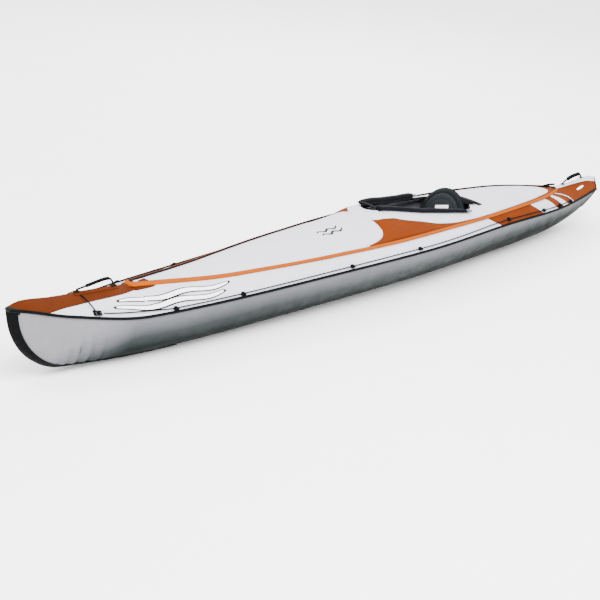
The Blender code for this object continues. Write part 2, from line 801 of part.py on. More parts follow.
def backrest():
    half = BACKREST_THICK / 2
    outline = arch(BACKREST_HALF_WIDTH, BACKREST_BASE, BACKREST_SPRING, BACKREST_TOP)
    plate("backrest_pad", outline, half, -half, "seat_grey", 0.007)
    inner = arch(0.122, 0.020, 0.101, 0.238, 10)
    plate("backrest_panel", inner, half + GAP + 0.008, half + GAP, "panel_grey")
    low, high, side = 0.146, 0.164, 0.044
    label = [(side, low), (side, high), (-side, high), (-side, low)]
    front = half + GAP + 0.008
    plate("backrest_label", label, front + GAP + 0.001, front + GAP, "label_white")


def side_strap(name, side):
    """A flat strap from the backrest's tab forward to the anchor on the chamber wall."""
    start = Vector((SEAT_HINGE[0] - 0.014, side * (BACKREST_HALF_WIDTH + 0.003), SEAT_HINGE[2] + 0.056))
    end = Vector((-0.40, side * (chamber_wall(-0.40) - 0.010), 0.185))
    outer, inner = [], []
    for k in range(7):
        share = k / 6
        point = start.lerp(end, share)
        point.z -= 0.010 * 4 * share * (1 - share)
        edge = [point + Vector((0, 0, 0.0125)), point - Vector((0, 0, 0.0125))]
        outer.append([tuple(p + Vector((0, side * 0.0015, 0))) for p in edge])
        inner.append([tuple(p) for p in edge])
    bm = bmesh.new()
    thick_sheet(bm, outer, inner)
    return add_mesh(name, bm, "web_black", tuple(SEAT_HINGE))


def strap_anchor(name, side):
    """The welded pad on a chamber's inner wall that holds the side strap."""
    wall = min(chamber_wall(-0.34), chamber_wall(-0.40))
    bm = bmesh.new()
    box_at(bm, (-0.372, side * (wall - 0.0055), 0.185), (0.046, 0.007, 0.040))
    return add_bevel(add_mesh(name, bm, "rubber_black"), 0.002)


def rear_strap():
    """The strap from the back of the backrest down to the deck behind the cockpit."""
    top = Vector((SEAT_HINGE[0] - 0.092, 0, SEAT_HINGE[2] + 0.184))
    foot = Vector((-0.950, 0, cover_height(-0.950, 0) + 0.007))
    outer, inner = [], []
    for k in range(7):
        share = k / 6
        point = top.lerp(foot, share)
        half = 0.050 + 0.060 * share
        edge = [point + Vector((0, half, 0)), point - Vector((0, half, 0))]
        inner.append([tuple(p) for p in edge])
        outer.append([tuple(p + Vector((0.001, 0, 0.003))) for p in edge])
    bm = bmesh.new()
    thick_sheet(bm, outer, inner)
    return add_mesh("rear_strap", bm, "web_black")


def rear_strap_patch():
    """The welded patch on the deck under the rear strap's foot."""
    rings = []
    for x, half in ((-1.000, 0.106), (-0.956, 0.114)):
        top = [cover_height(x, share * half) + 0.001 for share in (0.0, 0.5, 1.0)]
        under = [(x, share * half, top[int(2 * abs(share))]) for share in (-1.0, -0.5, 0.0, 0.5, 1.0)]
        rings.append(under + [(a, b, c + 0.003) for a, b, c in under[::-1]])
    bm = bmesh.new()
    loft(bm, rings)
    return add_mesh("rear_strap_patch", bm, "rubber_black")


def foot_brace():
    """The padded foot roll and the two webbing tracks that it slides along."""
    half = chamber_wall(FOOT_BRACE_X + 0.16) - 0.020
    rings = []
    for y in (-half, -half + 0.012, half - 0.012, half):
        radius = 0.048 if abs(y) == half else 0.055
        ring = []
        for k in range(14):
            angle = 2 * pi * k / 14
            ring.append((FOOT_BRACE_X + radius * cos(angle), y, FLOOR_TOP + 0.060 + radius * sin(angle)))
        rings.append(ring)
    bm = bmesh.new()
    loft(bm, rings)
    add_mesh("foot_brace", bm, "seat_grey", (FOOT_BRACE_X, 0, FLOOR_TOP + 0.060))
    for name, side in (("port", 1), ("starboard", -1)):
        bm = bmesh.new()
        box_at(bm, (FOOT_BRACE_X, side * 0.06, FLOOR_TOP + GAP + 0.001), (0.46, 0.038, 0.002))
        add_mesh("foot_brace_track_" + name, bm, "web_black")


# ---------------------------------------------------------------- valves
def valve(prefix, place, axis):
    """A push-to-deflate valve: flange with a bore, spring pin and screw cap."""
    bm = bmesh.new()
    turned(bm, ((0.007, 0.0), (0.022, 0.0), (0.022, 0.003), (0.017, 0.006), (0.007, 0.006)), 16, place, axis)
    add_mesh(prefix + "_valve_body", bm, "plastic_black", place)
    bm = bmesh.new()
    disc(bm, 0.0045, 0.0040, 0.0070, 10, place, axis)
    add_mesh(prefix + "_valve_pin", bm, "plastic_grey", place)
    bm = bmesh.new()
    disc(bm, 0.0190, 0.0075, 0.0130, 14, place, axis)
    add_mesh(prefix + "_valve_cap", bm, "plastic_black", place)


# ---------------------------------------------------------------- deck fittings
def handle_path(front, rear, rise):
    """The arch of a handle along the ridge, steeper at its rear foot."""
    points = []
    for k in range(15):
        share = k / 14
        x = front + (rear - front) * share
        lift = rise * sin(pi * share ** 1.5) ** 0.8 if 0 < share < 1 else 0.0
        points.append((x, 0, ridge(x) + 0.0120 + lift))
    return points


def carry_handle(name, front, rear, rise):
    """A tubular webbing handle; it flops to either side about the line through its feet."""
    return add_tube(name, handle_path(front, rear, rise), HANDLE_RADIUS, "web_black")


def handle_base(name, front, rear):
    """The welded strip along the ridge under a handle's feet."""
    rings = []
    for x in np.linspace(rear - 0.022, front + 0.022, 8):
        half = 0.020
        edge, top = deck_height_at(x, half), ridge(x)
        rings.append([(x, -half, edge + 0.0030), (x, 0, top + 0.0030), (x, half, edge + 0.0030),
                      (x, half, edge + 0.0060), (x, 0, top + 0.0060), (x, -half, edge + 0.0060)])
    bm = bmesh.new()
    loft(bm, rings)
    return add_mesh(name, bm, "rubber_black")


def deck_height_at(x, y):
    """Height of the peaked bow or stern deck at a distance from the ridge."""
    share = min(abs(y) / half_beam(x), 1.0)
    return deck_point(x, share)[1]


def gunwale_place(x, share, lift):
    """A point above the side deck near the gunwale, with the deck's slope there."""
    y, z = deck_point(x, share)
    y2, z2 = deck_point(x, share + 0.05)
    slope = Vector((0, y2 - y, z2 - z)).normalized()
    normal = Vector((0, -slope.z, slope.y))
    return Vector((x, y, z)) + normal * lift, normal


def side_of(point, side):
    return (point[0], side * point[1], point[2])


def deck_frame(x, share, lift, side):
    """A placing matrix on the side deck: X along the boat, Z out of the deck."""
    point, normal = gunwale_place(x, share, lift)
    ahead = gunwale_place(x + 0.02, share, lift)[0] - gunwale_place(x - 0.02, share, lift)[0]
    ahead.normalize()
    along = Vector(side_of(ahead, side))
    up = Vector(side_of(normal, side))
    across = up.cross(along).normalized()
    up = along.cross(across).normalized()
    turn = Matrix((along, across, up)).transposed().to_4x4()
    return Matrix.Translation(side_of(point, side)) @ turn


def dring_patch(name, side):
    """The welded patch that carries the bow D-ring."""
    bm = bmesh.new()
    place = deck_frame(DRING_X, DRING_SHARE, 0.0030, side)
    bmesh.ops.create_cube(bm, size=1, matrix=place @ Matrix.Diagonal((0.046, 0.030, 0.002, 1)))
    return add_mesh(name, bm, "rubber_black")


def dring(name, side):
    """A steel D-ring lying on its patch, hinged on its straight bar."""
    place = deck_frame(DRING_X, DRING_SHARE, 0.0075, side)
    path = []
    for k in range(9):
        angle = pi * k / 8
        path.append((0.013 * cos(angle), side * 0.020 * sin(angle), 0))
    points = [place @ Vector(p) for p in path]
    made = add_tube(name, [tuple(p) for p in points], 0.0020, "steel", closed=True)
    return made


def grab_line(name, side):
    """The perimeter line, from the bow ring's patch along the guides to the stern."""
    marks = [(1.835, 0.020, 0.007), (1.66, 0.025, 0.008), (CLIP_X[0], 0.0125, 0.009)]
    marks += [(x, 0.0125, 0.009) for x in CLIP_X[1:]]
    stations = np.linspace(marks[0][0], marks[-1][0], 45)
    inboard = [(x, reach) for x, reach, _ in marks[::-1]]
    lifts = [(x, lift) for x, _, lift in marks[::-1]]
    points = []
    for x in stations:
        share = 1 - smooth(inboard, x) / (half_beam(x) - rim_half(x))
        point, _ = gunwale_place(x, share, smooth(lifts, x))
        points.append(side_of(point, side))
    return add_tube(name, points, LINE_RADIUS, "web_black")


def bow_cord(name, side):
    """The short cord from the handle's front patch down to the gunwale ring."""
    points = []
    for k in range(14):
        share = k / 13
        x = 1.888 - 0.020 * share
        out = 0.19 + (DRING_SHARE - 0.19 - 0.12) * share
        point, _ = gunwale_place(x, out, 0.0055 + 0.012 * sin(pi * share))
        points.append(side_of(point, side))
    return add_tube(name, points, 0.0022, "web_black")


def stern_strap():
    """The short elastic loop over the stern end of the rim."""
    fore = (-1.720, -0.035, cover_height(-1.720, -0.035) + 0.0085)
    aft = (-1.885, -0.020, ridge(-1.885) + 0.0085)
    path = []
    for k in range(9):
        share = k / 8
        x, y, z = (a + (b - a) * share for a, b in zip(fore, aft))
        path.append((x, y, z + 0.022 * sin(pi * share)))
    return add_tube("stern_strap", path, 0.004, "web_black", sides=1)


def build():
    clear_scene()
    hull_bottom()
    bow_deck()
    stern_deck()
    rim_welt()
    deck_cover()
    for name, side in (("port", 1), ("starboard", -1)):
        side_deck("side_deck_" + name, side)
        gunwale_piping("gunwale_piping_" + name, side)
        side_chamber("side_chamber_" + name, side)
        cockpit_rail("cockpit_rail_" + name, side, RAIL_REACH[name], RAIL_HEIGHT[name])
        side_strap("side_strap_" + name, side)
        grab_line("grab_line_" + name, side)
        bow_cord("bow_cord_" + name, side)
        dring_patch("dring_patch_" + name, side)
        dring("dring_" + name, side)
        rail_buckle("rail_buckle_" + name, side, RAIL_REACH[name])
        strap_anchor("strap_anchor_" + name, side)
        wall = chamber_wall(-0.24) - 0.004
        valve(name, (-0.24, side * wall, 0.215), (0, -side, 0))
    valve("floor", (-0.28, 0, FLOOR_TOP + GAP), (0, 0, 1))
    stem_strip("bow_strip", 1, (0.040, 0.013), 14)
    stem_strip("stern_strip", 0, (0.022, 0.018), 7)
    keel_line()
    bow_cap()
    floor_board()
    cockpit_hem()
    rail_strap()
    seat_cushion()
    backrest()
    rear_strap()
    rear_strap_patch()
    foot_brace()
    carry_handle("bow_handle", *BOW_HANDLE)
    carry_handle("stern_handle", *STERN_HANDLE)
    handle_base("bow_handle_base", *BOW_HANDLE[:2])
    handle_base("stern_handle_base", *STERN_HANDLE[:2])
    stern_strap()


build()
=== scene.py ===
"""Inflatable touring kayak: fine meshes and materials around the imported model.

Metres, +X to the bow, +Y to port, +Z up, origin on the ground under the middle of the hull.
"""

import json
from functools import lru_cache
from math import cos, pi, radians, sin

import bmesh
import bpy
import numpy as np
from mathutils import Matrix, Vector


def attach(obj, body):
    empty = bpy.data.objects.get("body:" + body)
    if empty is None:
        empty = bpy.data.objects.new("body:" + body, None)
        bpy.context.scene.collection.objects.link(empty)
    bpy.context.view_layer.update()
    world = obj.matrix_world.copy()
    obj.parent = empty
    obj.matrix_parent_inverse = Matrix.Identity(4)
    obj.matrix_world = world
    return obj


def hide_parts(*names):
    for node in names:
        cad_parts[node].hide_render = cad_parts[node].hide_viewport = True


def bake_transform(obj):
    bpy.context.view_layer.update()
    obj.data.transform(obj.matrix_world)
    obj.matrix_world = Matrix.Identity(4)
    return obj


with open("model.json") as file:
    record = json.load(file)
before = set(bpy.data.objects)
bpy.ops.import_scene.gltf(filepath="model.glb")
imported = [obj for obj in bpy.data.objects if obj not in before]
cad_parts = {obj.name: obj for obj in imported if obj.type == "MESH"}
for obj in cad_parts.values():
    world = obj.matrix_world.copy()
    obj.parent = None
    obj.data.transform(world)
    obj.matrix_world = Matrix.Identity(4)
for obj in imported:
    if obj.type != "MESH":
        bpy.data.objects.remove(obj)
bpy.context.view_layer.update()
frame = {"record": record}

# ---------------------------------------------------------------- hull form, as in the model
STERN_X, BOW_X = -2.285, 2.285
HALF_BEAM = (
    (STERN_X, 0.030), (-2.20, 0.053), (-2.00, 0.112), (-1.60, 0.202), (-1.00, 0.264),
    (-0.30, 0.314), (0.50, 0.287), (1.10, 0.251), (1.60, 0.199), (2.00, 0.100),
    (2.20, 0.039), (BOW_X, 0.013),
)
GUNWALE_HEIGHT = (
    (STERN_X, 0.188), (-2.00, 0.199), (-1.60, 0.215), (-1.00, 0.241), (-0.30, 0.247),
    (0.50, 0.247), (1.10, 0.245), (1.60, 0.248), (2.00, 0.301), (2.20, 0.348), (BOW_X, 0.365),
)
RIM_AFT_X, RIM_FORE_X = -1.840, 1.570
RIM_HALF_WIDTH = (
    (RIM_AFT_X, 0.024), (-1.785, 0.052), (-1.69, 0.087), (-1.60, 0.118), (-1.35, 0.175),
    (-0.76, 0.237), (-0.18, 0.248), (0.40, 0.208), (0.99, 0.127), (RIM_FORE_X, 0.018),
)
RIM_HEIGHT = (
    (RIM_AFT_X, 0.257), (-1.35, 0.293), (-0.76, 0.308), (0.40, 0.312), (0.99, 0.312),
    (RIM_FORE_X, 0.342),
)
RIDGE_HEIGHT = (
    (STERN_X, 0.258), (-2.20, 0.280), (-2.05, 0.270), (RIM_AFT_X, 0.260), (-1.60, 0.292),
    (-1.30, 0.318), (-0.93, 0.333), (-0.74, 0.360), (-0.43, 0.392), (-0.11, 0.430),
    (-0.03, 0.386), (0.16, 0.346), (0.60, 0.332), (1.00, 0.324), (1.30, 0.324),
    (RIM_FORE_X, 0.342), (1.88, 0.364), (2.05, 0.376), (2.22, 0.394), (BOW_X, 0.382),
)
BOW_SEAM = (
    (1.44, 0.0), (1.469, 0.138), (1.562, 0.213), (1.651, 0.288), (1.743, 0.338), (1.836, 0.413),
    (1.929, 0.525), (2.014, 0.663), (2.092, 0.913), (2.115, 1.0),
)
KEEL_FLAT_X = (-0.90, 1.00)
ROCKER = (0.060, 0.050)
STEM_LENGTH = (0.748, 0.319)
STEM_POWER = (1.839, 1.838)
SECTION_POWER = (1.72, 1.91, 2.24)
FLAT_SHARE = 0.14
DECK_CROWN = 0.004
FLOOR_TOP = 0.110
COCKPIT_FORE_X, COCKPIT_AFT_X = -0.125, -0.740
COCKPIT_HALF_FORE, COCKPIT_HALF_AFT = 0.052, 0.158
COCKPIT_NOSE, COCKPIT_TAIL = 0.035, 0.190
RAIL_REACH = {"port": 1.0, "starboard": 0.87}
SIDES = (("port", 1), ("starboard", -1))
JOINTS = {joint["name"]: joint for joint in frame["record"]["behaviour"]["joints"]}
HINGE = Vector(JOINTS["backrest_recline"]["pos_m"])
LEAN = Matrix.Rotation(radians(-20), 4, "Y")


def smooth(table, x):
    """A curve through a table's points that doesn't overshoot between them."""
    stations, values = np.array(table).T
    steps = np.diff(stations)
    grades = np.diff(values) / steps
    slopes = np.zeros(len(values))
    slopes[0], slopes[-1] = grades[0], grades[-1]
    for i in range(1, len(values) - 1):
        if grades[i - 1] * grades[i] > 0:
            near, far = 2 * steps[i] + steps[i - 1], steps[i] + 2 * steps[i - 1]
            slopes[i] = (near + far) / (near / grades[i - 1] + far / grades[i])
    i = int(np.clip(np.searchsorted(stations, x) - 1, 0, len(steps) - 1))
    u = min(max((x - stations[i]) / steps[i], 0.0), 1.0)
    start, end = values[i], values[i + 1]
    rise = steps[i] * (slopes[i] * u * (1 - u) ** 2 - slopes[i + 1] * u * u * (1 - u))
    return float(start + (end - start) * u * u * (3 - 2 * u) + rise)


@lru_cache(maxsize=None)
def half_beam(x):
    return smooth(HALF_BEAM, x)


@lru_cache(maxsize=None)
def gunwale(x):
    return smooth(GUNWALE_HEIGHT, x)


@lru_cache(maxsize=None)
def ridge(x):
    return smooth(RIDGE_HEIGHT, x)


@lru_cache(maxsize=None)
def rim_half(x):
    return smooth(RIM_HALF_WIDTH, x) if RIM_AFT_X < x < RIM_FORE_X else 0.0


@lru_cache(maxsize=None)
def rim_height(x):
    return smooth(RIM_HEIGHT, x)


def end_of(x):
    """Which end a station belongs to: 0 for the stern, 1 for the bow."""
    return 1 if x > 0 else 0


def rocker(x):
    end = end_of(x)
    sign = 1 if end else -1
    beyond = sign * (x - KEEL_FLAT_X[end]) / (sign * ((BOW_X, STERN_X)[1 - end] - KEEL_FLAT_X[end]))
    return ROCKER[end] * max(0.0, beyond) ** 2


def stem_point(end, angle):
    """A point of the stem's outline: angle 0 at the gunwale tip, pi/2 where it meets the keel."""
    sign, tip = (1, BOW_X) if end else (-1, STERN_X)
    root = tip - sign * STEM_LENGTH[end]
    share = 2 / STEM_POWER[end]
    x = root + sign * STEM_LENGTH[end] * max(cos(angle), 0.0) ** share
    low, high = rocker(root), gunwale(tip)
    return x, high - (high - low) * sin(angle) ** share


@lru_cache(maxsize=None)
def keel(x):
    end = end_of(x)
    sign, tip = (1, BOW_X) if end else (-1, STERN_X)
    root = tip - sign * STEM_LENGTH[end]
    u = sign * (x - root) / STEM_LENGTH[end]
    if u <= 0:
        return rocker(x)
    power = STEM_POWER[end]
    low, high = rocker(root), gunwale(tip)
    stem = high - (high - low) * max(1 - min(u, 1.0) ** power, 0.0) ** (1 / power)
    return max(stem, low)


@lru_cache(maxsize=None)
def section_power(x):
    return float(np.interp(x, (STERN_X, 0, BOW_X), SECTION_POWER))


def bottom_height(x, y, inset=0.0):
    """Height of the bottom skin at a distance y from the centre plane."""
    beam, flat, power = half_beam(x) - inset, FLAT_SHARE * half_beam(x), section_power(x)
    share = min(max((abs(y) - flat) / (beam - flat), 0.0), 1.0)
    return gunwale(x) - (gunwale(x) - keel(x) - inset) * (1 - share ** power) ** (1 / power)


def half_breadth(x, z):
    """Half width of the bottom skin at a height."""
    power, low, high = section_power(x), keel(x), gunwale(x)
    share = min(max((high - z) / max(high - low, 1e-6), 0.0), 1.0)
    flat = FLAT_SHARE * half_beam(x) if share < 1 else 0.0
    return flat + (half_beam(x) - flat) * (1 - share ** power) ** (1 / power)


def deck_point(x, share):
    """A point of the outer deck: share 0 at the rim or the ridge, 1 at the gunwale."""
    inner = rim_half(x)
    top = rim_height(x) if inner else ridge(x)
    y = inner + (half_beam(x) - inner) * share
    return y, top + (gunwale(x) - top) * share + DECK_CROWN * 4 * share * (1 - share)


def deck_place(x, share, side, lift):
    """A point at a height above the outer deck, square to it."""
    y, z = deck_point(x, share)
    y2, z2 = deck_point(x, share + 0.02)
    slope = Vector((0, y2 - y, z2 - z)).normalized()
    return Vector((x, side * (y - slope.z * lift), z + slope.y * lift))


def cover_height(x, y):
    """Height of the crowned cover that closes the hull inside the rim."""
    share = min(abs(y) / max(rim_half(x), 0.02), 1.0)
    return rim_height(x) + (ridge(x) - rim_height(x)) * (1 - share * share)


@lru_cache(maxsize=None)
def cockpit_half(x):
    """Half width of the cockpit opening at a station."""
    if x > COCKPIT_FORE_X:
        reach = min((x - COCKPIT_FORE_X) / COCKPIT_NOSE, 1.0)
        return COCKPIT_HALF_FORE * (1 - reach * reach) ** 0.5
    if x < COCKPIT_AFT_X:
        reach = min((COCKPIT_AFT_X - x) / COCKPIT_TAIL, 1.0)
        return COCKPIT_HALF_AFT * (1 - reach * reach) ** 0.5
    share = (COCKPIT_FORE_X - x) / (COCKPIT_FORE_X - COCKPIT_AFT_X)
    return COCKPIT_HALF_FORE + (COCKPIT_HALF_AFT - COCKPIT_HALF_FORE) * share


def rail_line(share):
    """A point on the cockpit's edge where a padded rail sits."""
    x = COCKPIT_FORE_X + (COCKPIT_AFT_X - 0.015 - COCKPIT_FORE_X) * share
    return x, COCKPIT_HALF_FORE + (COCKPIT_HALF_AFT - COCKPIT_HALF_FORE) * share + 0.012


# ---------------------------------------------------------------- materials
def nodes_of(name, colour, rough, metal=0.0, shine=0.12):
    """A new material with its Principled shader, object coordinates and constant values set."""
    made = bpy.data.materials.new(name)
    made.use_nodes = True
    tree = made.node_tree
    shader = tree.nodes["Principled BSDF"]
    shader.inputs["Base Color"].default_value = (*colour, 1)
    shader.inputs["Roughness"].default_value = rough
    shader.inputs["Metallic"].default_value = metal
    shader.inputs["Specular IOR Level"].default_value = shine
    place = tree.nodes.new("ShaderNodeTexCoord")
    return made, tree, shader, place.outputs["Object"]


def noise(tree, place, scale, detail=3.0, rough=0.5, stretch=None):
    if stretch:
        mapping = tree.nodes.new("ShaderNodeMapping")
        mapping.inputs["Scale"].default_value = stretch
        tree.links.new(place, mapping.inputs["Vector"])
        place = mapping.outputs["Vector"]
    made = tree.nodes.new("ShaderNodeTexNoise")
    made.inputs["Scale"].default_value = scale
    made.inputs["Detail"].default_value = detail
    made.inputs["Roughness"].default_value = rough
    tree.links.new(place, made.inputs["Vector"])
    return made.outputs["Fac"]


def ramp(tree, value, stops):
    """Colours or greys along a value."""
    made = tree.nodes.new("ShaderNodeValToRGB")
    band = made.color_ramp
    while len(band.elements) < len(stops):
        band.elements.new(0.5)
    for element, (position, colour) in zip(band.elements, stops):
        element.position = position
        element.color = (*colour, 1)
    tree.links.new(value, made.inputs["Fac"])
    return made.outputs["Color"]


def maths(tree, operation, a, b):
    made = tree.nodes.new("ShaderNodeMath")
    made.operation = operation
    for value, socket in zip((a, b), made.inputs):
        if isinstance(value, (int, float)):
            socket.default_value = value
        else:
            tree.links.new(value, socket)
    return made.outputs["Value"]


def mix(tree, kind, share, a, b):
    made = tree.nodes.new("ShaderNodeMix")
    made.data_type = "RGBA"
    made.blend_type = kind
    made.inputs[0].default_value = share
    tree.links.new(a, made.inputs[6])
    tree.links.new(b, made.inputs[7])
    return made.outputs[2]


def bump(tree, shader, height, strength, distance):
    """Adds one layer of bump on top of those that are there."""
    made = tree.nodes.new("ShaderNodeBump")
    made.inputs["Strength"].default_value = strength
    made.inputs["Distance"].default_value = distance
    tree.links.new(height, made.inputs["Height"])
    below = shader.inputs["Normal"]
    if below.is_linked:
        tree.links.new(below.links[0].from_socket, made.inputs["Normal"])
    tree.links.new(made.outputs["Normal"], below)


def wave(tree, place, direction, scale, distort=0.0):
    made = tree.nodes.new("ShaderNodeTexWave")
    made.bands_direction = direction
    made.inputs["Scale"].default_value = scale
    made.inputs["Distortion"].default_value = distort
    tree.links.new(place, made.inputs["Vector"])
    return made.outputs["Fac"]


def weave(tree, place, thread):
    """Warp and weft threads of a plain weave, crossing over each other."""
    scale = 1 / (thread * 20 / pi)
    return maths(tree, "MULTIPLY", wave(tree, place, "X", scale), wave(tree, place, "Y", scale))


def fabric(name, colour, rough=0.7, thread=0.0016, shade=0.10, sheen=0.03, soft=0.004):
    """Coated woven fabric: thread relief, faint stains and dust, and a filled skin's slow unevenness."""
    made, tree, shader, place = nodes_of(name, colour, rough, shine=0.05)
    shader.inputs["Sheen Weight"].default_value = sheen
    shader.inputs["Sheen Roughness"].default_value = 0.5
    stain = ramp(tree, noise(tree, place, 5.0, 4.0, 0.6),
                 ((0.30, [c * (1 - shade) for c in colour]),
                  (0.70, [min(c * (1 + shade * 0.5), 1) for c in colour])))
    fine = ramp(tree, noise(tree, place, 220.0, 2.0), ((0.35, (0.92,) * 3), (0.65, (1, 1, 1))))
    tree.links.new(mix(tree, "MULTIPLY", 1.0, stain, fine), shader.inputs["Base Color"])
    tree.links.new(ramp(tree, noise(tree, place, 14.0),
                        ((0.3, (rough - 0.08,) * 3), (0.7, (rough + 0.08,) * 3))),
                   shader.inputs["Roughness"])
    bump(tree, shader, noise(tree, place, 9.0, 2.0), 0.35, soft)
    bump(tree, shader, weave(tree, place, thread), 0.35, 0.0004)
    return made


def hull_fabric():
    """Coated hull fabric, scuffed: paler towards the gunwale and darker and greener towards the keel, partly
    its own darker lower tone and partly painted shade where the skin turns under.
    """
    made, tree, shader, place = nodes_of("hull_grey", (0.10, 0.10, 0.11), 0.46, shine=0.08)
    split = tree.nodes.new("ShaderNodeSeparateXYZ")
    tree.links.new(place, split.inputs["Vector"])
    drift = maths(tree, "MULTIPLY", noise(tree, place, 2.2, 3.0, 0.6, (0.6, 1, 2)), 0.03)
    ahead = maths(tree, "MAXIMUM", maths(tree, "SUBTRACT", split.outputs["X"], 1.68), 0.0)
    level = maths(tree, "ADD", maths(tree, "SUBTRACT", split.outputs["Z"], 0.015), drift)
    level = maths(tree, "ADD", level, maths(tree, "MULTIPLY", ahead, 0.52))
    behind = maths(tree, "MAXIMUM", maths(tree, "MULTIPLY", split.outputs["X"], -1.0), 0.0)
    steeper = maths(tree, "ADD", maths(tree, "MULTIPLY", behind, 0.45), 1.0)
    pivot = 0.205
    level = maths(tree, "MULTIPLY", maths(tree, "SUBTRACT", level, pivot), steeper)
    level = maths(tree, "ADD", level, pivot)
    # Painted shade, partly the fabric's own tone: the colour runs from pale at the gunwale to dark
    # green-grey at the keel, kept paler at the bow and darkening faster towards the stern.
    tone_and_painted_shade = ramp(tree, level, ((0.02, (0.0030, 0.0056, 0.0049)), (0.085, (0.0062, 0.0096, 0.0090)),
                              (0.145, (0.022, 0.026, 0.027)), (0.200, (0.070, 0.073, 0.080)),
                              (0.245, (0.106, 0.107, 0.119)), (0.31, (0.145, 0.144, 0.158))))
    scuff = ramp(tree, noise(tree, place, 26.0, 5.0, 0.7, (0.35, 1, 1)),
                 ((0.36, (0.90,) * 3), (0.60, (1, 1, 1))))
    tree.links.new(mix(tree, "MULTIPLY", 1.0, tone_and_painted_shade, scuff), shader.inputs["Base Color"])
    tree.links.new(ramp(tree, noise(tree, place, 18.0, 4.0), ((0.3, (0.38,) * 3), (0.7, (0.56,) * 3))),
                   shader.inputs["Roughness"])
    shine = ramp(tree, level, ((0.08, (0.01,) * 3), (0.20, (0.08,) * 3)))
    tree.links.new(shine, shader.inputs["Specular IOR Level"])
    bump(tree, shader, noise(tree, place, 6.0, 2.0, 0.5, (0.5, 1, 1)), 0.45, 0.006)
    bump(tree, shader, weave(tree, place, 0.0014), 0.25, 0.0003)
    return made


def rubber(name, colour, rough=0.55, grain=900.0):
    """Moulded rubber or plastic with a fine grain and rubbed patches."""
    made, tree, shader, place = nodes_of(name, colour, rough, shine=0.05)
    worn = ramp(tree, noise(tree, place, 30.0, 5.0, 0.65),
                ((0.35, colour), (0.75, [min(c * 1.9 + 0.0003, 1) for c in colour])))
    tree.links.new(worn, shader.inputs["Base Color"])
    tree.links.new(ramp(tree, noise(tree, place, 60.0),
                        ((0.3, (rough - 0.1,) * 3), (0.7, (rough + 0.12,) * 3))),
                   shader.inputs["Roughness"])
    bump(tree, shader, noise(tree, place, grain, 2.0), 0.25, 0.0003)
    return made


def webbing(name, colour, rib=0.0022):
    """Woven webbing: ribs across the strap and a slight sheen."""
    made, tree, shader, place = nodes_of(name, colour, 0.75, shine=0.03)
    shader.inputs["Sheen Weight"].default_value = 0.01
    ribs = wave(tree, place, "DIAGONAL", 1 / (rib * 20 / pi))
    worn = ramp(tree, noise(tree, place, 80.0, 3.0),
                ((0.3, colour), (0.8, [c * 1.8 + 0.0012 for c in colour])))
    tree.links.new(worn, shader.inputs["Base Color"])
    bump(tree, shader, ribs, 0.6, 0.0006)
    return made


def steel():
    made, tree, shader, place = nodes_of("steel", (0.045, 0.047, 0.052), 0.34, 1.0)
    tree.links.new(ramp(tree, noise(tree, place, 140.0, 4.0), ((0.3, (0.20,) * 3), (0.7, (0.42,) * 3))),
                   shader.inputs["Roughness"])
    return made


M = {
    "hull_grey": hull_fabric(),
    "deck_white": fabric("deck_white", (0.50, 0.50, 0.57), 0.62, shade=0.05),
    "deck_brown": fabric("deck_brown", (0.108, 0.0185, 0.0008), 0.75, shade=0.16, sheen=0.0),
    "bow_brown": fabric("bow_brown", (0.056, 0.0100, 0.0006), 0.75, shade=0.18, sheen=0.0),
    "rim_orange": fabric("rim_orange", (0.255, 0.0500, 0.0), 0.8, thread=0.0012, shade=0.08, sheen=0.0),
    "rim_edge": fabric("rim_edge", (0.14, 0.024, 0.002), 0.8, thread=0.0012),
    # Near-black brown for the rim band's inner face: painted shade.
    "rim_inner_shade": fabric("rim_inner_shade", (0.014, 0.0035, 0.0015), 0.9, thread=0.0012),
    "rubber_black": rubber("rubber_black", (0.0003, 0.0004, 0.0005), 0.7),
    "web_black": webbing("web_black", (0.0009, 0.0009, 0.0016)),
    "pad_black": fabric("pad_black", (0.0020, 0.0022, 0.0042), 0.8, thread=0.0018, shade=0.25, sheen=0.012),
    "seat_grey": fabric("seat_grey", (0.0065, 0.0085, 0.0090), 0.85, thread=0.0020, shade=0.25, sheen=0.03),
    "panel_grey": fabric("panel_grey", (0.0130, 0.0155, 0.0175), 0.85, thread=0.0020, shade=0.18,
                         sheen=0.02),
    "label_white": rubber("label_white", (0.70, 0.70, 0.72), 0.45),
    "chamber_grey": fabric("chamber_grey", (0.055, 0.055, 0.068), 0.55, shade=0.12),
    "plastic_black": rubber("plastic_black", (0.0025, 0.0027, 0.0030), 0.38),
    "plastic_grey": rubber("plastic_grey", (0.075, 0.080, 0.090), 0.42),
    "cap_grey": rubber("cap_grey", (0.0035, 0.0055, 0.0050), 0.42),
    "print_black": rubber("print_black", (0.0012, 0.0013, 0.0020), 0.5),
    "print_white": rubber("print_white", (0.74, 0.74, 0.76), 0.5),
    "thread_pale": fabric("thread_pale", (0.42, 0.42, 0.45), 0.7, thread=0.0008),
    "thread_grey": fabric("thread_grey", (0.045, 0.050, 0.056), 0.7, thread=0.0008),
    "thread_dark": fabric("thread_dark", (0.10, 0.022, 0.004), 0.7, thread=0.0008),
    "steel": steel(),
}


# ---------------------------------------------------------------- making pieces
def finish_piece(made, body, replaced=()):
    if made.name not in bpy.context.scene.collection.all_objects:
        bpy.context.collection.objects.link(made)
    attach(made, body)
    if replaced:
        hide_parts(*replaced)
    return made


def add_material(data, name):
    data.materials.append(M[name])


def raw_mesh(name, points, faces, materials, up=None):
    """A smooth-shaded mesh; up is the direction that most of its faces look in."""
    mesh = bpy.data.meshes.new(name)
    mesh.from_pydata([tuple(p) for p in points], [], faces)
    mesh.update()
    if up is not None:
        total = sum((p.normal * p.area for p in mesh.polygons), Vector())
        if total.dot(Vector(up)) < 0:
            mesh.flip_normals()
    mesh.shade_smooth()
    for item in materials:
        add_material(mesh, item)
    made = bpy.data.objects.new(name, mesh)
    bpy.context.collection.objects.link(made)
    return made


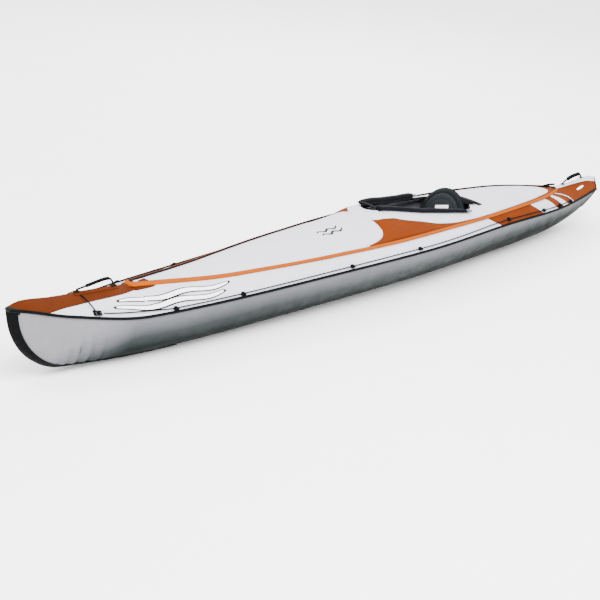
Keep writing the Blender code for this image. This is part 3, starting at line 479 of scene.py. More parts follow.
def closed_mesh(name, points, faces, materials):
    """A closed smooth-shaded mesh whose faces are turned outwards."""
    made = raw_mesh(name, points, faces, materials)
    bm = bmesh.new()
    bm.from_mesh(made.data)
    bmesh.ops.remove_doubles(bm, verts=bm.verts, dist=1e-6)
    bmesh.ops.recalc_face_normals(bm, faces=bm.faces)
    bm.to_mesh(made.data)
    bm.free()
    return made


def grid_faces(rows, columns, start=0, wrap_rows=False, wrap_columns=False):
    faces = []
    for i in range(rows if wrap_rows else rows - 1):
        for j in range(columns if wrap_columns else columns - 1):
            k, m = (i + 1) % rows, (j + 1) % columns
            faces.append((start + i * columns + j, start + i * columns + m,
                          start + k * columns + m, start + k * columns + j))
    return faces


def sheet_of(name, grid, material, up, thick, outward=True):
    """A thin skin on a grid of points."""
    points = [p for row in grid for p in row]
    made = raw_mesh(name, points, grid_faces(len(grid), len(grid[0])), [material], up)
    solid = made.modifiers.new("thickness", "SOLIDIFY")
    solid.thickness = thick
    solid.offset = 1 if outward else -1
    return made


def lofted(name, rings, material, closed=False):
    """A solid through rings of points, with flat ends unless it closes on itself."""
    count = len(rings[0])
    points = [p for ring in rings for p in ring]
    faces = grid_faces(len(rings), count, 0, closed, True)
    if not closed:
        faces.append(tuple(range(count))[::-1])
        faces.append(tuple(range(len(points) - count, len(points))))
    return closed_mesh(name, points, faces, [material])


def tube(name, points, radius, material, closed=False, sides=5):
    """A round cord, cable or piping along its points."""
    curve = bpy.data.curves.new(name, "CURVE")
    curve.dimensions = "3D"
    curve.bevel_depth = radius
    curve.bevel_resolution = sides
    curve.use_fill_caps = True
    add_material(curve, material)
    spline = curve.splines.new("POLY")
    spline.points.add(len(points) - 1)
    for place, point in zip(spline.points, points):
        place.co = (*point, 1)
    spline.use_cyclic_u = closed
    spline.use_smooth = True
    made = bpy.data.objects.new(name, curve)
    bpy.context.collection.objects.link(made)
    return made


def soft_box(name, centre, size, material, width=0.002, turn=None):
    """A box with rounded edges."""
    bm = bmesh.new()
    place = Matrix.Translation(centre) @ (turn or Matrix.Identity(4))
    bmesh.ops.create_cube(bm, size=1, matrix=place @ Matrix.Diagonal((*size, 1)))
    mesh = bpy.data.meshes.new(name)
    bm.to_mesh(mesh)
    bm.free()
    add_material(mesh, material)
    made = bpy.data.objects.new(name, mesh)
    bpy.context.collection.objects.link(made)
    edges = made.modifiers.new("edges", "BEVEL")
    edges.width = width
    edges.segments = 3
    mesh.shade_smooth()
    return made


def spread(start, end, count, ends=0.0):
    """Stations from start to end, closer together near both ends by the share given."""
    even = np.linspace(0, 1, count)
    eased = 0.5 - 0.5 * np.cos(pi * even)
    return [float(start + (end - start) * ((1 - ends) * a + ends * b)) for a, b in zip(even, eased)]


# ---------------------------------------------------------------- hull
WRINKLES = ((1.812, 0.0062), (1.868, 0.0098), (1.925, 0.0108), (1.978, 0.0085), (2.028, 0.0048))


def wrinkle(x, z, side):
    """How far the skin is drawn in by the upright folds near the foot of the bow stem."""
    low = keel(x)
    fade = max(0.0, 1 - abs((z - low - 0.070) / 0.105) ** 2)
    total = 0.0
    for centre, depth in WRINKLES:
        lean = centre + 0.10 * (z - low - 0.055) + 0.012 * (side < 0)
        total += depth * np.exp(-((x - lean) / 0.011) ** 2)
    return total * fade


def hull_skin():
    stations = spread(STERN_X + 0.004, BOW_X - 0.004, 300, 0.35)
    stations = sorted(set(stations) | set(spread(1.74, 2.10, 90)))
    grid = []
    for x in stations:
        beam, flat, share = half_beam(x), FLAT_SHARE * half_beam(x), 2 / section_power(x)
        high, low = gunwale(x), keel(x)
        port = []
        for angle in np.linspace(0.02, pi / 2, 30):
            y = flat + (beam - flat) * max(cos(angle), 0.0) ** share
            z = high - (high - low) * sin(angle) ** share
            port.append((y, z))
        port.append((flat * 0.5, low))
        row = [(x, y - wrinkle(x, z, 1), z) for y, z in port] + [(x, 0.0, low)]
        row += [(x, -y + wrinkle(x, z, -1), z) for y, z in port[::-1]]
        grid.append(row)
    made = sheet_of("hull_skin", grid, "hull_grey", (0, 0, -1), 0.002, outward=False)
    return finish_piece(made, "root", ["hull_bottom"])


def stem_rows(end, reaches, angles, lift, spread_out):
    """Rows down the stem; each runs from the port edge round the stem to the starboard edge."""
    sign = 1 if end else -1
    rows = []
    for angle in angles:
        x, z = stem_point(end, angle)
        ahead = Vector(stem_point(end, angle + 0.01)) - Vector((x, z))
        inward = Vector((-abs(ahead.y), abs(ahead.x))).normalized()
        inward.x *= sign
        half = []
        reach = reaches[0] + (reaches[1] - reaches[0]) * angle / (pi / 2)
        for share in (1.0, 0.97, 0.85, 0.6, 0.35, 0.18, 0.08):
            px, pz = x + inward.x * reach * share, z + inward.y * reach * share
            edge = 0.4 if share == 1.0 else 1.0
            half.append((px, half_breadth(px, pz) + spread_out * edge, pz))
        nose = (x - inward.x * lift, 0.0, z - inward.y * lift)
        half.append((nose[0], FLAT_SHARE * half_beam(x) + spread_out * 0.5, nose[2]))
        rows.append(half + [nose] + [(a, -b, d) for a, b, d in half[::-1]])
    return rows


def stem_strips():
    for name, end, reaches, span in (("bow_strip", 1, (0.040, 0.013), (0.045, 1.50)),
                                     ("stern_strip", 0, (0.022, 0.018), (0.05, 0.62))):
        rows = stem_rows(end, reaches, np.linspace(*span, 60), 0.0055, 0.0050)
        made = sheet_of(name + "_rubber", rows, "rubber_black", (1 if end else -1, 0, -0.3), 0.0025,
                        outward=False)
        finish_piece(made, "root", [name])


def keel_bead():
    points = [(x, 0.0, keel(x) - 0.0005) for x in spread(1.38, 1.985, 60)]
    finish_piece(tube("keel_bead", points, 0.0042, "rubber_black"), "root", ["keel_line"])
    # A thin black cord along each lower side of the hull near the bow.
    for name, side in SIDES:
        seam = []
        for x in spread(1.34, 2.00, 90):
            flat, power = FLAT_SHARE * half_beam(x), section_power(x)
            share = 0.36
            y = flat + (half_beam(x) - flat) * share
            z = gunwale(x) - (gunwale(x) - keel(x)) * (1 - share ** power) ** (1 / power)
            seam.append((x, side * y, z - 0.0006))
        finish_piece(tube("bottom_dark_cord_" + name, seam, 0.0046, "rubber_black", sides=3),
                     "root")


def bow_cap():
    """The moulded cap that wraps the top of the stem under the deck's tip."""
    rings = []
    for share in np.linspace(0, 1, 9):
        x = 2.236 + 0.0535 * share
        half = 0.030 * (1 - share) ** 0.5 * 0.75 + 0.0095
        high = gunwale(x) + 0.010 + 0.003 * sin(pi * share)
        low = gunwale(x) - 0.012 - 0.014 * (1 - share)
        ring = []
        for k in range(20):
            angle = 2 * pi * k / 20
            y = half * abs(cos(angle)) ** 0.7 * (1 if cos(angle) >= 0 else -1)
            sign = 1 if sin(angle) >= 0 else -1
            z = 0.5 * (high + low) + 0.5 * (high - low) * abs(sin(angle)) ** 0.7 * sign
            ring.append((x, y, z))
        rings.append(ring)
    finish_piece(lofted("bow_cap_moulding", rings, "cap_grey"), "root", ["bow_cap"])


# ---------------------------------------------------------------- decks
def seam_share(x):
    """Share of the way out where the side deck's front edge meets the bow deck."""
    return smooth(BOW_SEAM, x)


def side_decks():
    for name, side in SIDES:
        grid = []
        for x in spread(RIM_AFT_X - 0.014, 2.105, 240, 0.2):
            inner = seam_share(x) if x > 1.44 else 0.0
            row = []
            for share in np.linspace(inner, 0.999, 22):
                row.append(tuple(deck_place(x, min(share, 0.999), side, puff(x, share, side))))
            grid.append(row)
        made = sheet_of("side_deck_skin_" + name, grid, "deck_white", (0, 0, 1), 0.0018, outward=False)
        finish_piece(made, "root", ["side_deck_" + name])


def puff(x, share, side):
    """Slow, shallow unevenness of the stretched deck fabric."""
    across = sin(pi * min(max(share, 0.0), 1.0))
    return 0.0011 * across * (sin(9.1 * x + 1.7 * side) + 0.6 * sin(23.0 * x + 4.0 * share + side))


def peaked_deck(name, stations, reach, material, node):
    grid = []
    for x in stations:
        shares = np.linspace(min(reach(x), 0.999), 0.0, 18)
        port = [deck_place(x, share, 1, puff(x, share, 1)) for share in shares]
        port[-1].y = 0.0
        grid.append([tuple(p) for p in port] + [(p.x, -p.y, p.z) for p in port[-2::-1]])
    made = sheet_of(name, grid, material, (0, 0, 1), 0.0018, outward=False)
    return finish_piece(made, "root", [node])


def end_decks():
    peaked_deck("bow_deck_skin", spread(1.452, 2.283, 110, 0.3), seam_share, "bow_brown",
                "bow_deck")
    peaked_deck("stern_deck_skin", spread(-2.282, RIM_AFT_X + 0.001, 60), lambda x: 1.0, "deck_brown",
                "stern_deck")


def stern_trim():
    """The pale strip along the stern deck's ridge, and the bound edge across its end."""
    rings = []
    for x in spread(-1.866, -2.279, 60):
        row = []
        for y in np.linspace(-0.040, 0.0195, 18):
            share = min(abs(y) / max(half_beam(x), 0.047), 0.97)
            top = deck_point(x, share)[1] + puff(x, share, 1 if y > 0 else -1)
            row.append((x, y * min(1.0, half_beam(x) / 0.047), top + 0.0018))
        rings.append(row)
    made = sheet_of("stern_ridge_strip", rings, "deck_white", (0, 0, 1), 0.0012)
    finish_piece(made, "root")
    edge = []
    for side in (1, -1):
        shares = np.linspace(0.97, 0.0, 14)
        half = [tuple(deck_place(STERN_X + 0.003, share, side, 0.0005)) for share in shares]
        edge += half if side > 0 else half[::-1][1:]
    finish_piece(tube("stern_edge", edge, 0.0050, "rubber_black", sides=3), "root")


def deck_ribbon(name, side, front, rear, material, shares=(0.0, 0.985), lift=0.0006, thick=0.0008, rows=26):
    """A fabric panel sewn on the outer deck, between two edges given as points (station, share)."""
    grid = []
    for share in np.linspace(*shares, rows):
        fore = smooth(front, share)
        aft = smooth(rear, share)
        row = []
        for k in range(26):
            x = fore + (aft - fore) * k / 25
            row.append(tuple(deck_place(x, share, side, lift + puff(x, share, side))))
        grid.append(row)
    made = sheet_of(name, grid, material, (0, 0, 1), thick)
    return finish_piece(made, "root")


# Edges on the stern side decks, as (share of the way out, station)
QUARTER_PANEL = ((0.0, -0.870), (0.2, -0.888), (0.56, -0.932), (0.94, -0.992), (1.0, -1.000))
QUARTER_END = ((0.0, -1.345), (0.3, -1.374), (0.55, -1.408), (0.85, -1.445), (1.0, -1.460))
TAIL_PANEL = ((0.0, -1.555), (0.1, -1.567), (0.46, -1.612), (0.825, -1.638), (1.0, -1.645))
TAIL_END = ((0.0, -1.8545), (1.0, -1.8545))
STRIPE_FORE = ((0.0, -1.648), (0.14, -1.660), (0.46, -1.693), (0.8, -1.716), (1.0, -1.722))
STRIPE_AFT = ((0.0, -1.690), (0.19, -1.708), (0.54, -1.764), (0.91, -1.790), (1.0, -1.795))
TAIL_LINE = ((-1.735, 0.079), (-1.79, 0.080), (-1.845, 0.084), (-1.868, 0.100), (-1.876, 0.140))


def stern_panels():
    for name, side in SIDES:
        deck_ribbon("quarter_panel_" + name, side, QUARTER_PANEL, QUARTER_END, "deck_brown")
        deck_ribbon("tail_panel_" + name, side, TAIL_PANEL, TAIL_END, "deck_brown")
        deck_ribbon("tail_stripe_" + name, side, STRIPE_FORE, STRIPE_AFT, "deck_white", lift=0.0014)
        tail_line(name, side)


def tail_line(name, side):
    """The thin curved stripe across the seam between side deck and stern deck."""
    def place(x, y, lift):
        inner = rim_half(x)
        share = (y - inner) / (half_beam(x) - inner)
        return tuple(deck_place(x, share, side, lift + 0.0012))

    ends = np.array(TAIL_LINE)
    reach = np.r_[0, np.cumsum(np.hypot(*np.diff(ends, axis=0).T))]
    spine = [[float(np.interp(t, reach, ends[:, c])) for c in (0, 1)] for t in np.linspace(0, reach[-1], 60)]
    grid = []
    for i, (x, y) in enumerate(spine):
        after, before = spine[min(i + 1, 59)], spine[max(i - 1, 0)]
        ahead = Vector((after[0] - before[0], after[1] - before[1])).normalized()
        half = 0.0025 + 0.0035 * i / 59
        grid.append([place(x - ahead.y * half * k, y + ahead.x * half * k, 0.0012) for k in (-1, 0, 1)])
    made = sheet_of("tail_line_" + name, grid, "deck_white", (0, 0, 1), 0.0006)
    return finish_piece(made, "root")


def cover_grid(stations, inner, outer, lift, columns=16):
    """Rows across the cover, from the port edge to the starboard edge, open at the cockpit."""
    halves = []
    for side in (1, -1):
        grid = []
        for x in stations:
            near, far = inner(x), max(outer(x), inner(x) + 0.0005)
            row = []
            for share in np.linspace(0, 1, columns):
                y = near + (far - near) * share
                z = cover_height(x, y) + lift + 0.0010 * sin(17 * x + side) * sin(pi * share)
                row.append((x, side * y, z))
            grid.append(row)
        halves.append(grid)
    return halves


def cover_piece(name, stations, inner, outer, material, lift, thick, replaced=()):
    points, faces = [], []
    for grid in cover_grid(stations, inner, outer, lift):
        start = len(points)
        points += [p for row in grid for p in row]
        faces += grid_faces(len(grid), len(grid[0]), start)
    made = raw_mesh(name, points, faces, [material], (0, 0, 1))
    bm = bmesh.new()
    bm.from_mesh(made.data)
    bmesh.ops.remove_doubles(bm, verts=bm.verts, dist=2e-5)
    bmesh.ops.recalc_face_normals(bm, faces=bm.faces)
    if sum(f.normal.z for f in bm.faces) < 0:
        bmesh.ops.reverse_faces(bm, faces=bm.faces)
    bm.to_mesh(made.data)
    bm.free()
    made.data.shade_smooth()
    solid = made.modifiers.new("thickness", "SOLIDIFY")
    solid.thickness = thick
    solid.offset = -1 if replaced else 1
    return finish_piece(made, "root", replaced)


TONGUE_HALF = ((-0.056, 0.132), (-0.053, 0.160), (-0.042, 0.180), (-0.020, 0.197), (0.030, 0.211),
               (0.110, 0.2185))
REAR_HALF = (
    (-1.752, 0.004), (-1.748, 0.022), (-1.735, 0.040), (-1.70, 0.062), (-1.65, 0.084), (-1.58, 0.104),
    (-1.429, 0.145), (-1.279, 0.170), (-1.105, 0.194), (-0.945, 0.212), (-0.767, 0.224), (-0.64, 0.224),
    (-0.491, 0.208), (-0.375, 0.178), (-0.245, 0.152), (-0.171, 0.131), (-0.130, 0.127), (-0.084, 0.114),
    (-0.055, 0.080), (-0.036, 0.034),
)


def inner_edge(x):
    """Where the cover tucks under the rim band."""
    return max(rim_half(x) - 0.006, 0.0012)


def tongue_half(x):
    limit = smooth(TONGUE_HALF, x) if x < 0.110 else 1.0
    return min(limit, inner_edge(x) - 0.0004)


def rear_half(x):
    return min(smooth(REAR_HALF, x), inner_edge(x) - 0.0004)


def deck_cover():
    ends = [RIM_AFT_X + 0.004, COCKPIT_AFT_X - COCKPIT_TAIL, COCKPIT_FORE_X + COCKPIT_NOSE,
            RIM_FORE_X - 0.010]
    stations = spread(ends[0], ends[1], 90, 0.6) + spread(ends[1], ends[2], 120, 0.9)[1:]
    stations += spread(ends[2], ends[3], 150, 0.5)[1:]
    cover_piece("cover_skin", stations, cockpit_half, inner_edge, "deck_brown", 0.0, 0.0018,
                ["deck_cover"])
    cover_piece("foredeck_panel", spread(-0.056, 1.535, 150, 0.5), lambda x: 0.0, tongue_half,
                "deck_white", 0.0006, 0.0008)
    rear = spread(-1.752, ends[1], 90, 0.9) + spread(ends[1], ends[2], 120, 0.9)[1:]
    rear += spread(ends[2], -0.036, 24, 0.5)[1:]
    cover_piece("cockpit_panel", rear, lambda x: cockpit_half(x) + 0.001 * (cockpit_half(x) > 0),
                rear_half, "deck_white", 0.0009, 0.0008)


def rim_points(count=420):
    """The rim loop, port side forward and starboard side back, rounded at both ends."""
    stations = spread(RIM_AFT_X + 0.010, RIM_FORE_X - 0.012, count, 0.35)
    port = [(x, rim_half(x), rim_height(x)) for x in stations]

    def turn(start, tip, half):
        sweep = np.linspace(0.1, pi - 0.1, 14)
        return [(start + (tip - start) * sin(a), half * cos(a), rim_height(start)) for a in sweep]

    nose = turn(port[-1][0], RIM_FORE_X, port[-1][1])
    tail = turn(port[0][0], RIM_AFT_X, port[0][1])
    starboard = [(x, -y, z) for x, y, z in port[::-1]]
    return port + nose + starboard + tail[::-1]


def rim_band():
    """The padded band round the rim: orange face, darker bound edges, and painted shade on the inner face in
    near-black brown.
    """
    path = rim_points()
    count = len(path)
    profile = []
    for k in range(20):
        angle = 2 * pi * k / 20
        profile.append((abs(cos(angle)) ** 0.8 * (1 if cos(angle) > 0 else -1), sin(angle)))
    points = []
    for i, point in enumerate(path):
        ahead = Vector(path[(i + 1) % count]) - Vector(path[i - 1])
        out = Vector((-ahead.y, ahead.x, 0)).normalized()
        tilt = radians(31)
        wide_way = out * cos(tilt) - Vector((0, 0, sin(tilt)))
        high_way = out * sin(tilt) + Vector((0, 0, cos(tilt)))
        fore = min(max((point[0] - 0.6) / 0.9, 0.0), 1.0)
        half = 0.0104 + 0.0040 * fore
        centre = Vector(point) + out * 0.006 + Vector((0, 0, 0.002))
        for a, b in profile:
            points.append(centre + wide_way * half * a + high_way * 0.0062 * b)
    faces = grid_faces(count, 20, 0, True, True)
    made = closed_mesh("rim_band", points, faces, ["rim_orange", "rim_edge", "rim_inner_shade"])
    # Faces on the band's lower outer side get the darker edge colour; faces on its inner side are painted
    # near-black as painted shade.
    for face in made.data.polygons:
        columns = sorted(v % 20 for v in face.vertices)
        spot = columns[0] if columns[-1] - columns[0] < 10 else 19
        if spot in (19, 18, 17, 16, 15):
            face.material_index = 1
        elif spot in (7, 8, 9, 10, 11, 12, 13, 14):
            face.material_index = 2
    return finish_piece(made, "root", ["rim_welt"])


def stitches(name, path, material, length=0.0045, step=0.0075, width=0.0005):
    """A row of stitches along a list of points that lie on a surface."""
    points = [Vector(p) for p in path]
    reach = [0.0]
    for a, b in zip(points, points[1:]):
        reach.append(reach[-1] + (b - a).length)
    verts, faces = [], []
    flat = np.array([tuple(p) for p in points])
    for start in np.arange(step, reach[-1] - step, step):
        ends = [Vector([np.interp(start + s, reach, flat[:, c]) for c in range(3)]) for s in (0, length)]
        ahead = (ends[1] - ends[0]).normalized()
        across = ahead.cross(Vector((0, 0, 1))).normalized() * width
        up = Vector((0, 0, width * 1.2))
        middle = 0.5 * (ends[0] + ends[1])
        base = len(verts)
        verts += [ends[0], middle + across, ends[1], middle - across, middle + up, middle - up]
        for a, b in ((0, 1), (1, 2), (2, 3), (3, 0)):
            faces += [(base + a, base + b, base + 4), (base + b, base + a, base + 5)]
    made = closed_mesh(name, verts, faces, [material])
    return finish_piece(made, "root")


def seam_rows():
    """Stitching along the sewn edges of the decks and of the rim."""
    for name, side in SIDES:
        xs = spread(-1.80, 1.42, 400)
        beside_rim = [deck_place(x, 0.03, side, 0.0016 + puff(x, 0.03, side)) for x in xs]
        stitches("rim_stitches_" + name, beside_rim, "thread_dark")
        seam = [(x, seam_share(x)) for x in spread(1.46, 2.10, 90)]
        beside_seam = [deck_place(x, share - 0.012, side, 0.0012) for x, share in seam]
        stitches("bow_seam_stitches_" + name, beside_seam, "thread_dark")
        for label, table in (("fore", QUARTER_PANEL), ("aft", QUARTER_END), ("tail", TAIL_PANEL)):
            inset = {"fore": -0.006, "aft": 0.006, "tail": -0.006}[label]
            points = []
            for share in np.linspace(0.12, 0.95, 40):
                x = smooth(table, share) + inset
                points.append(deck_place(x, share, side, 0.0020 + puff(x, share, side)))
            stitches(f"panel_stitches_{label}_{name}", points, "thread_dark")
        rear = []
        for x in spread(-1.74, -0.18, 260):
            y = rear_half(x) - 0.006
            rear.append((x, side * y, cover_height(x, y) + 0.0026))
        stitches("cockpit_panel_stitches_" + name, rear, "thread_pale")
        fore = []
        for x in spread(-0.05, 0.12, 60):
            y = tongue_half(x) - 0.006
            fore.append((x, side * y, cover_height(x, y) + 0.0024))
        stitches("foredeck_stitches_" + name, fore, "thread_pale")


def ribbon_mark(name, spine, half, material, place, lift=0.0010):
    """A printed mark that follows a line on a surface; half gives its half width along the way."""
    grid = []
    count = len(spine)
    for i, (u, v) in enumerate(spine):
        width = half * (sin(pi * (i + 0.5) / count) ** 0.35)
        grid.append([place(u, v + width * k, lift) for k in (-1, -0.5, 0, 0.5, 1)])
    made = sheet_of(name, grid, material, (0, 0, 1), 0.0005)
    return finish_piece(made, "root")


def printed_marks():
    """Plain marks: waves on each bow side deck and the foredeck, and a dash at the stern."""
    for name, side in SIDES:
        def place(x, reach, lift):
            share = 1 - reach / (half_beam(x) - rim_half(x))
            return tuple(deck_place(x, share, side, lift + puff(x, share, side)))
        for k, (level, start, stop) in enumerate(((0.092, 1.720, 1.06), (0.050, 1.760, 1.12))):
            spine = []
            for x in spread(start, stop, 90):
                run = (start - x) / 0.62
                spine.append((x, level + 0.008 * sin(2 * pi * run * 2.0 + 0.5 * k)))
            ribbon_mark(f"wave_edge_{k}_{name}", spine, 0.0180, "print_black", place)
            ribbon_mark(f"wave_fill_{k}_{name}", spine[2:-2], 0.0115, "print_white", place, 0.0017)
        def near_stern(x, share, lift):
            return tuple(deck_place(x, share, side, lift + 0.0008))
        spine = [(x, 0.52 + 0.6 * (x + 2.07)) for x in spread(-2.020, -2.115, 40)]
        ribbon_mark("stern_dash_" + name, spine, 0.060, "print_white", near_stern)

    def on_cover(x, y, lift):
        return (x, y, cover_height(x, y) + lift + 0.0014)
    for k, shift in enumerate((-0.014, 0.014)):
        xs = spread(0.250, 0.095, 60)
        spine = [(x, shift * 1.5 + 0.010 * sin(2 * pi * (x - 0.11) / 0.07)) for x in xs]
        ribbon_mark(f"foredeck_wave_{k}", spine, 0.0085, "print_black", on_cover)


# ---------------------------------------------------------------- gunwale
CLIP_X = (1.459, 1.052, 0.306, -0.215, -1.071, -1.466, -1.671, -1.836)


def gunwale_lines():
    for name, side in SIDES:
        xs = spread(STERN_X + 0.004, BOW_X - 0.004, 420, 0.2)
        path = [(x, side * (half_beam(x) + 0.001), gunwale(x)) for x in xs]
        piping = tube("piping_" + name, path, 0.0068, "rubber_black")
        finish_piece(piping, "root", ["gunwale_piping_" + name])
        for k, x in enumerate(CLIP_X):
            guide(f"line_guide_{k}_{name}", x, side)
        line = tube("grab_rope_" + name, line_points(side), 0.0031, "web_black")
        finish_piece(line, "root", ["grab_line_" + name])


def guide(name, x, side):
    """A moulded guide on the piping: a body with a rolled lip that the line runs through."""
    share = 1 - 0.0125 / (half_beam(x) - rim_half(x))
    centre = deck_place(x, share, side, 0.004)
    turn = Matrix.Rotation(side * (half_beam(x + 0.02) - half_beam(x - 0.02)) / 0.04, 4, "Z")
    body = soft_box(name, centre + Vector((0, side * 0.004, 0.001)), (0.026, 0.020, 0.010), "rubber_black",
                    0.003, turn)
    lip = soft_box(name + "_lip", centre + Vector((0, 0, 0.0085)), (0.017, 0.014, 0.007), "rubber_black",
                   0.0028, turn)
    lip.parent = body
    finish_piece(body, "root")


def line_points(side):
    marks = [(1.835, 0.020, 0.007), (1.66, 0.025, 0.008)] + [(x, 0.0125, 0.009) for x in CLIP_X]
    inboard = [(x, reach) for x, reach, _ in marks[::-1]]
    lifts = [(x, lift) for x, _, lift in marks[::-1]]
    points = []
    for x in spread(marks[0][0], marks[-1][0], 260):
        share = 1 - smooth(inboard, x) / (half_beam(x) - rim_half(x))
        points.append(deck_place(x, share, side, smooth(lifts, x)))
    return points


# ---------------------------------------------------------------- set
def backdrop():
    made, tree, shader, place = nodes_of("floor_pale", (0.96, 0.96, 0.96), 0.75)
    M["floor_pale"] = made
    tree.links.new(ramp(tree, noise(tree, place, 3.0), ((0.3, (0.95,) * 3), (0.7, (0.97,) * 3))),
                   shader.inputs["Base Color"])
    bpy.ops.mesh.primitive_plane_add(size=60, location=(0, 0, -0.0008))
    floor = bpy.context.object
    floor.name = "floor"
    add_material(floor.data, "floor_pale")


def area_light(name, place, target, size, power, colour=(1, 1, 1)):
    data = bpy.data.lights.new(name, "AREA")
    data.size = size
    data.energy = power
    data.color = colour
    lamp = bpy.data.objects.new(name, data)
    lamp.location = place
    lamp.rotation_euler = (Vector(target) - Vector(place)).to_track_quat("-Z", "Y").to_euler()
    bpy.context.collection.objects.link(lamp)


def lights():
    world = bpy.data.worlds.new("studio")
    bpy.context.scene.world = world
    world.use_nodes = True
    sky = world.node_tree.nodes["Background"]
    sky.inputs["Color"].default_value = (1, 1, 1, 1)
    sky.inputs["Strength"].default_value = 3.2
    area_light("key", (2.0, 3.5, 6.0), (0, 0, 0.2), 5.0, 1250)
    area_light("fill", (5.5, 5.5, 2.6), (0.6, 0, 0.2), 4.0, 180)
    area_light("back", (-4.0, -4.0, 4.5), (0, 0, 0.2), 4.0, 400)


def camera():
    """Looks aft over the port bow."""
    azimuth, elevation, roll = radians(131.56), radians(20.39), radians(-5.26)
    back = Vector((sin(azimuth) * cos(elevation), -cos(azimuth) * cos(elevation), sin(elevation)))
    right = Vector((cos(azimuth), sin(azimuth), 0))
    up = back.cross(right)
    x_axis = right * cos(roll) - up * sin(roll)
    y_axis = right * sin(roll) + up * cos(roll)
    data = bpy.data.cameras.new("camera")
    data.lens = 105.72
    data.sensor_width = 36
    eye = bpy.data.objects.new("camera", data)
    turn = Matrix((x_axis, y_axis, back)).transposed().to_4x4()
    eye.matrix_world = Matrix.Translation(Vector((0.36, 0, 0)) + back * 9.22) @ turn
    bpy.context.collection.objects.link(eye)
    bpy.context.scene.camera = eye


# ---------------------------------------------------------------- inside the hull
CHAMBER_INSET = 0.006


def rounded(ring, rounds=2):
    """A closed ring with its corners cut, so that it stays inside the ring it comes from."""
    ring = [Vector(p) for p in ring]
    for _ in range(rounds):
        cut = []
        for a, b in zip(ring, ring[1:] + ring[:1]):
            cut += [a.lerp(b, 0.25), a.lerp(b, 0.75)]
        ring = cut
    return ring


def chamber_wall(x):
    return max(0.76 * rim_half(x) - 0.012, 0.012)


def side_chambers():
    """The two air chambers along the sides, with a welded seam along their inner wall."""
    for name, side in SIDES:
        rings, seam = [], []
        for x in spread(-1.96, 2.06, 160):
            wall = chamber_wall(x)
            top = (rim_height(x) if rim_half(x) else ridge(x)) - 0.018
            ring = [(wall, top)]
            for share in (0.35, 0.65, 0.88):
                y, z = deck_point(x, share)
                ring.append((max(y, wall + 0.004), z - CHAMBER_INSET - 0.006 * (1 - share)))
            seat = max(bottom_height(x, wall), keel(x)) + CHAMBER_INSET + 0.003
            high = gunwale(x)
            for share in (0.22, 0.45, 0.68, 0.86):
                z = high + (seat - high) * share
                ring.append((max(half_breadth(x, z - CHAMBER_INSET) - CHAMBER_INSET, wall + 0.003), z))
            ring.append((wall, seat + 0.001))
            rings.append(rounded([(x, side * y, z) for y, z in ring]))
            seam.append((x, side * (wall - 0.0006), top - 0.045))
        finish_piece(lofted("chamber_" + name, rings, "chamber_grey"), "root",
                     ["side_chamber_" + name])
        seam = tube("chamber_seam_" + name, seam[12:-12], 0.0016, "chamber_grey", sides=2)
        finish_piece(seam, "root")


def air_floor():
    """The inflatable floor, with round tubes along its top."""
    rings = []
    for x in spread(-1.58, 1.22, 130):
        wall = chamber_wall(x) - 0.002
        top = []
        for y in np.linspace(wall, -wall, 61):
            groove = 0.006 * (1 - abs(sin(pi * y / 0.056)) ** 0.5)
            top.append((x, y, FLOOR_TOP - groove - 0.004 * max(0.0, abs(y) / wall - 0.9) * 10))
        under = []
        for share in (1.0, 0.66, 0.33, 0.0):
            y = wall * share
            under.append((y, min(bottom_height(x, y) + CHAMBER_INSET, FLOOR_TOP - 0.014)))
        port = [(x, -y, z) for y, z in under]
        rings.append(top + port + [(x, y, z) for y, z in under[-2::-1]])
    finish_piece(lofted("air_floor", rings, "chamber_grey"), "root", ["floor_board"])


# ---------------------------------------------------------------- padded pieces
def swell(made, cap, voxel=0.005, pressure=4.0):
    """Fills a padded shape by cloth simulation; no point moves further than the cap."""
    bpy.context.view_layer.objects.active = made
    remesh = made.modifiers.new("remesh", "REMESH")
    remesh.mode = "VOXEL"
    remesh.voxel_size = voxel
    bpy.ops.object.modifier_apply(modifier=remesh.name)
    count = len(made.data.vertices)
    start = np.zeros(count * 3)
    made.data.vertices.foreach_get("co", start)
    cloth = made.modifiers.new("cloth", "CLOTH")
    cloth.settings.quality = 5
    cloth.settings.use_pressure = True
    cloth.settings.uniform_pressure_force = pressure
    cloth.settings.effector_weights.gravity = 0
    scene = bpy.context.scene
    for step in range(1, 21):
        scene.frame_set(step)
    filled = made.evaluated_get(bpy.context.evaluated_depsgraph_get())
    end = np.zeros(count * 3)
    filled.data.vertices.foreach_get("co", end)
    made.modifiers.remove(cloth)
    scene.frame_set(1)
    move = (end - start).reshape(-1, 3)
    far = np.linalg.norm(move, axis=1, keepdims=True)
    move *= np.minimum(1.0, cap / np.maximum(far, 1e-9))
    made.data.vertices.foreach_set("co", (start.reshape(-1, 3) + move).ravel())
    made.data.update()
    smooth_out = made.modifiers.new("smooth", "SMOOTH")
    smooth_out.factor = 0.5
    smooth_out.iterations = 3
    bpy.ops.object.modifier_apply(modifier=smooth_out.name)
    made.modifiers.new("fine", "SUBSURF").levels = 1
    bpy.ops.object.modifier_apply(modifier="fine")
    made.data.shade_smooth()
    return made


def press_channel(made, distance, depth, width):
    """Presses a sewn channel into a mesh; distance gives how far a point is from the seam."""
    mesh = made.data
    moves = []
    for vertex in mesh.vertices:
        pull = depth * np.exp(-(distance(vertex.co) / width) ** 2)
        moves.append(vertex.co - vertex.normal * pull)
    for vertex, place in zip(mesh.vertices, moves):
        vertex.co = place
    mesh.update()


def padded_piece(made, body, replaced):
    finish_piece(made, body, replaced)
    return made


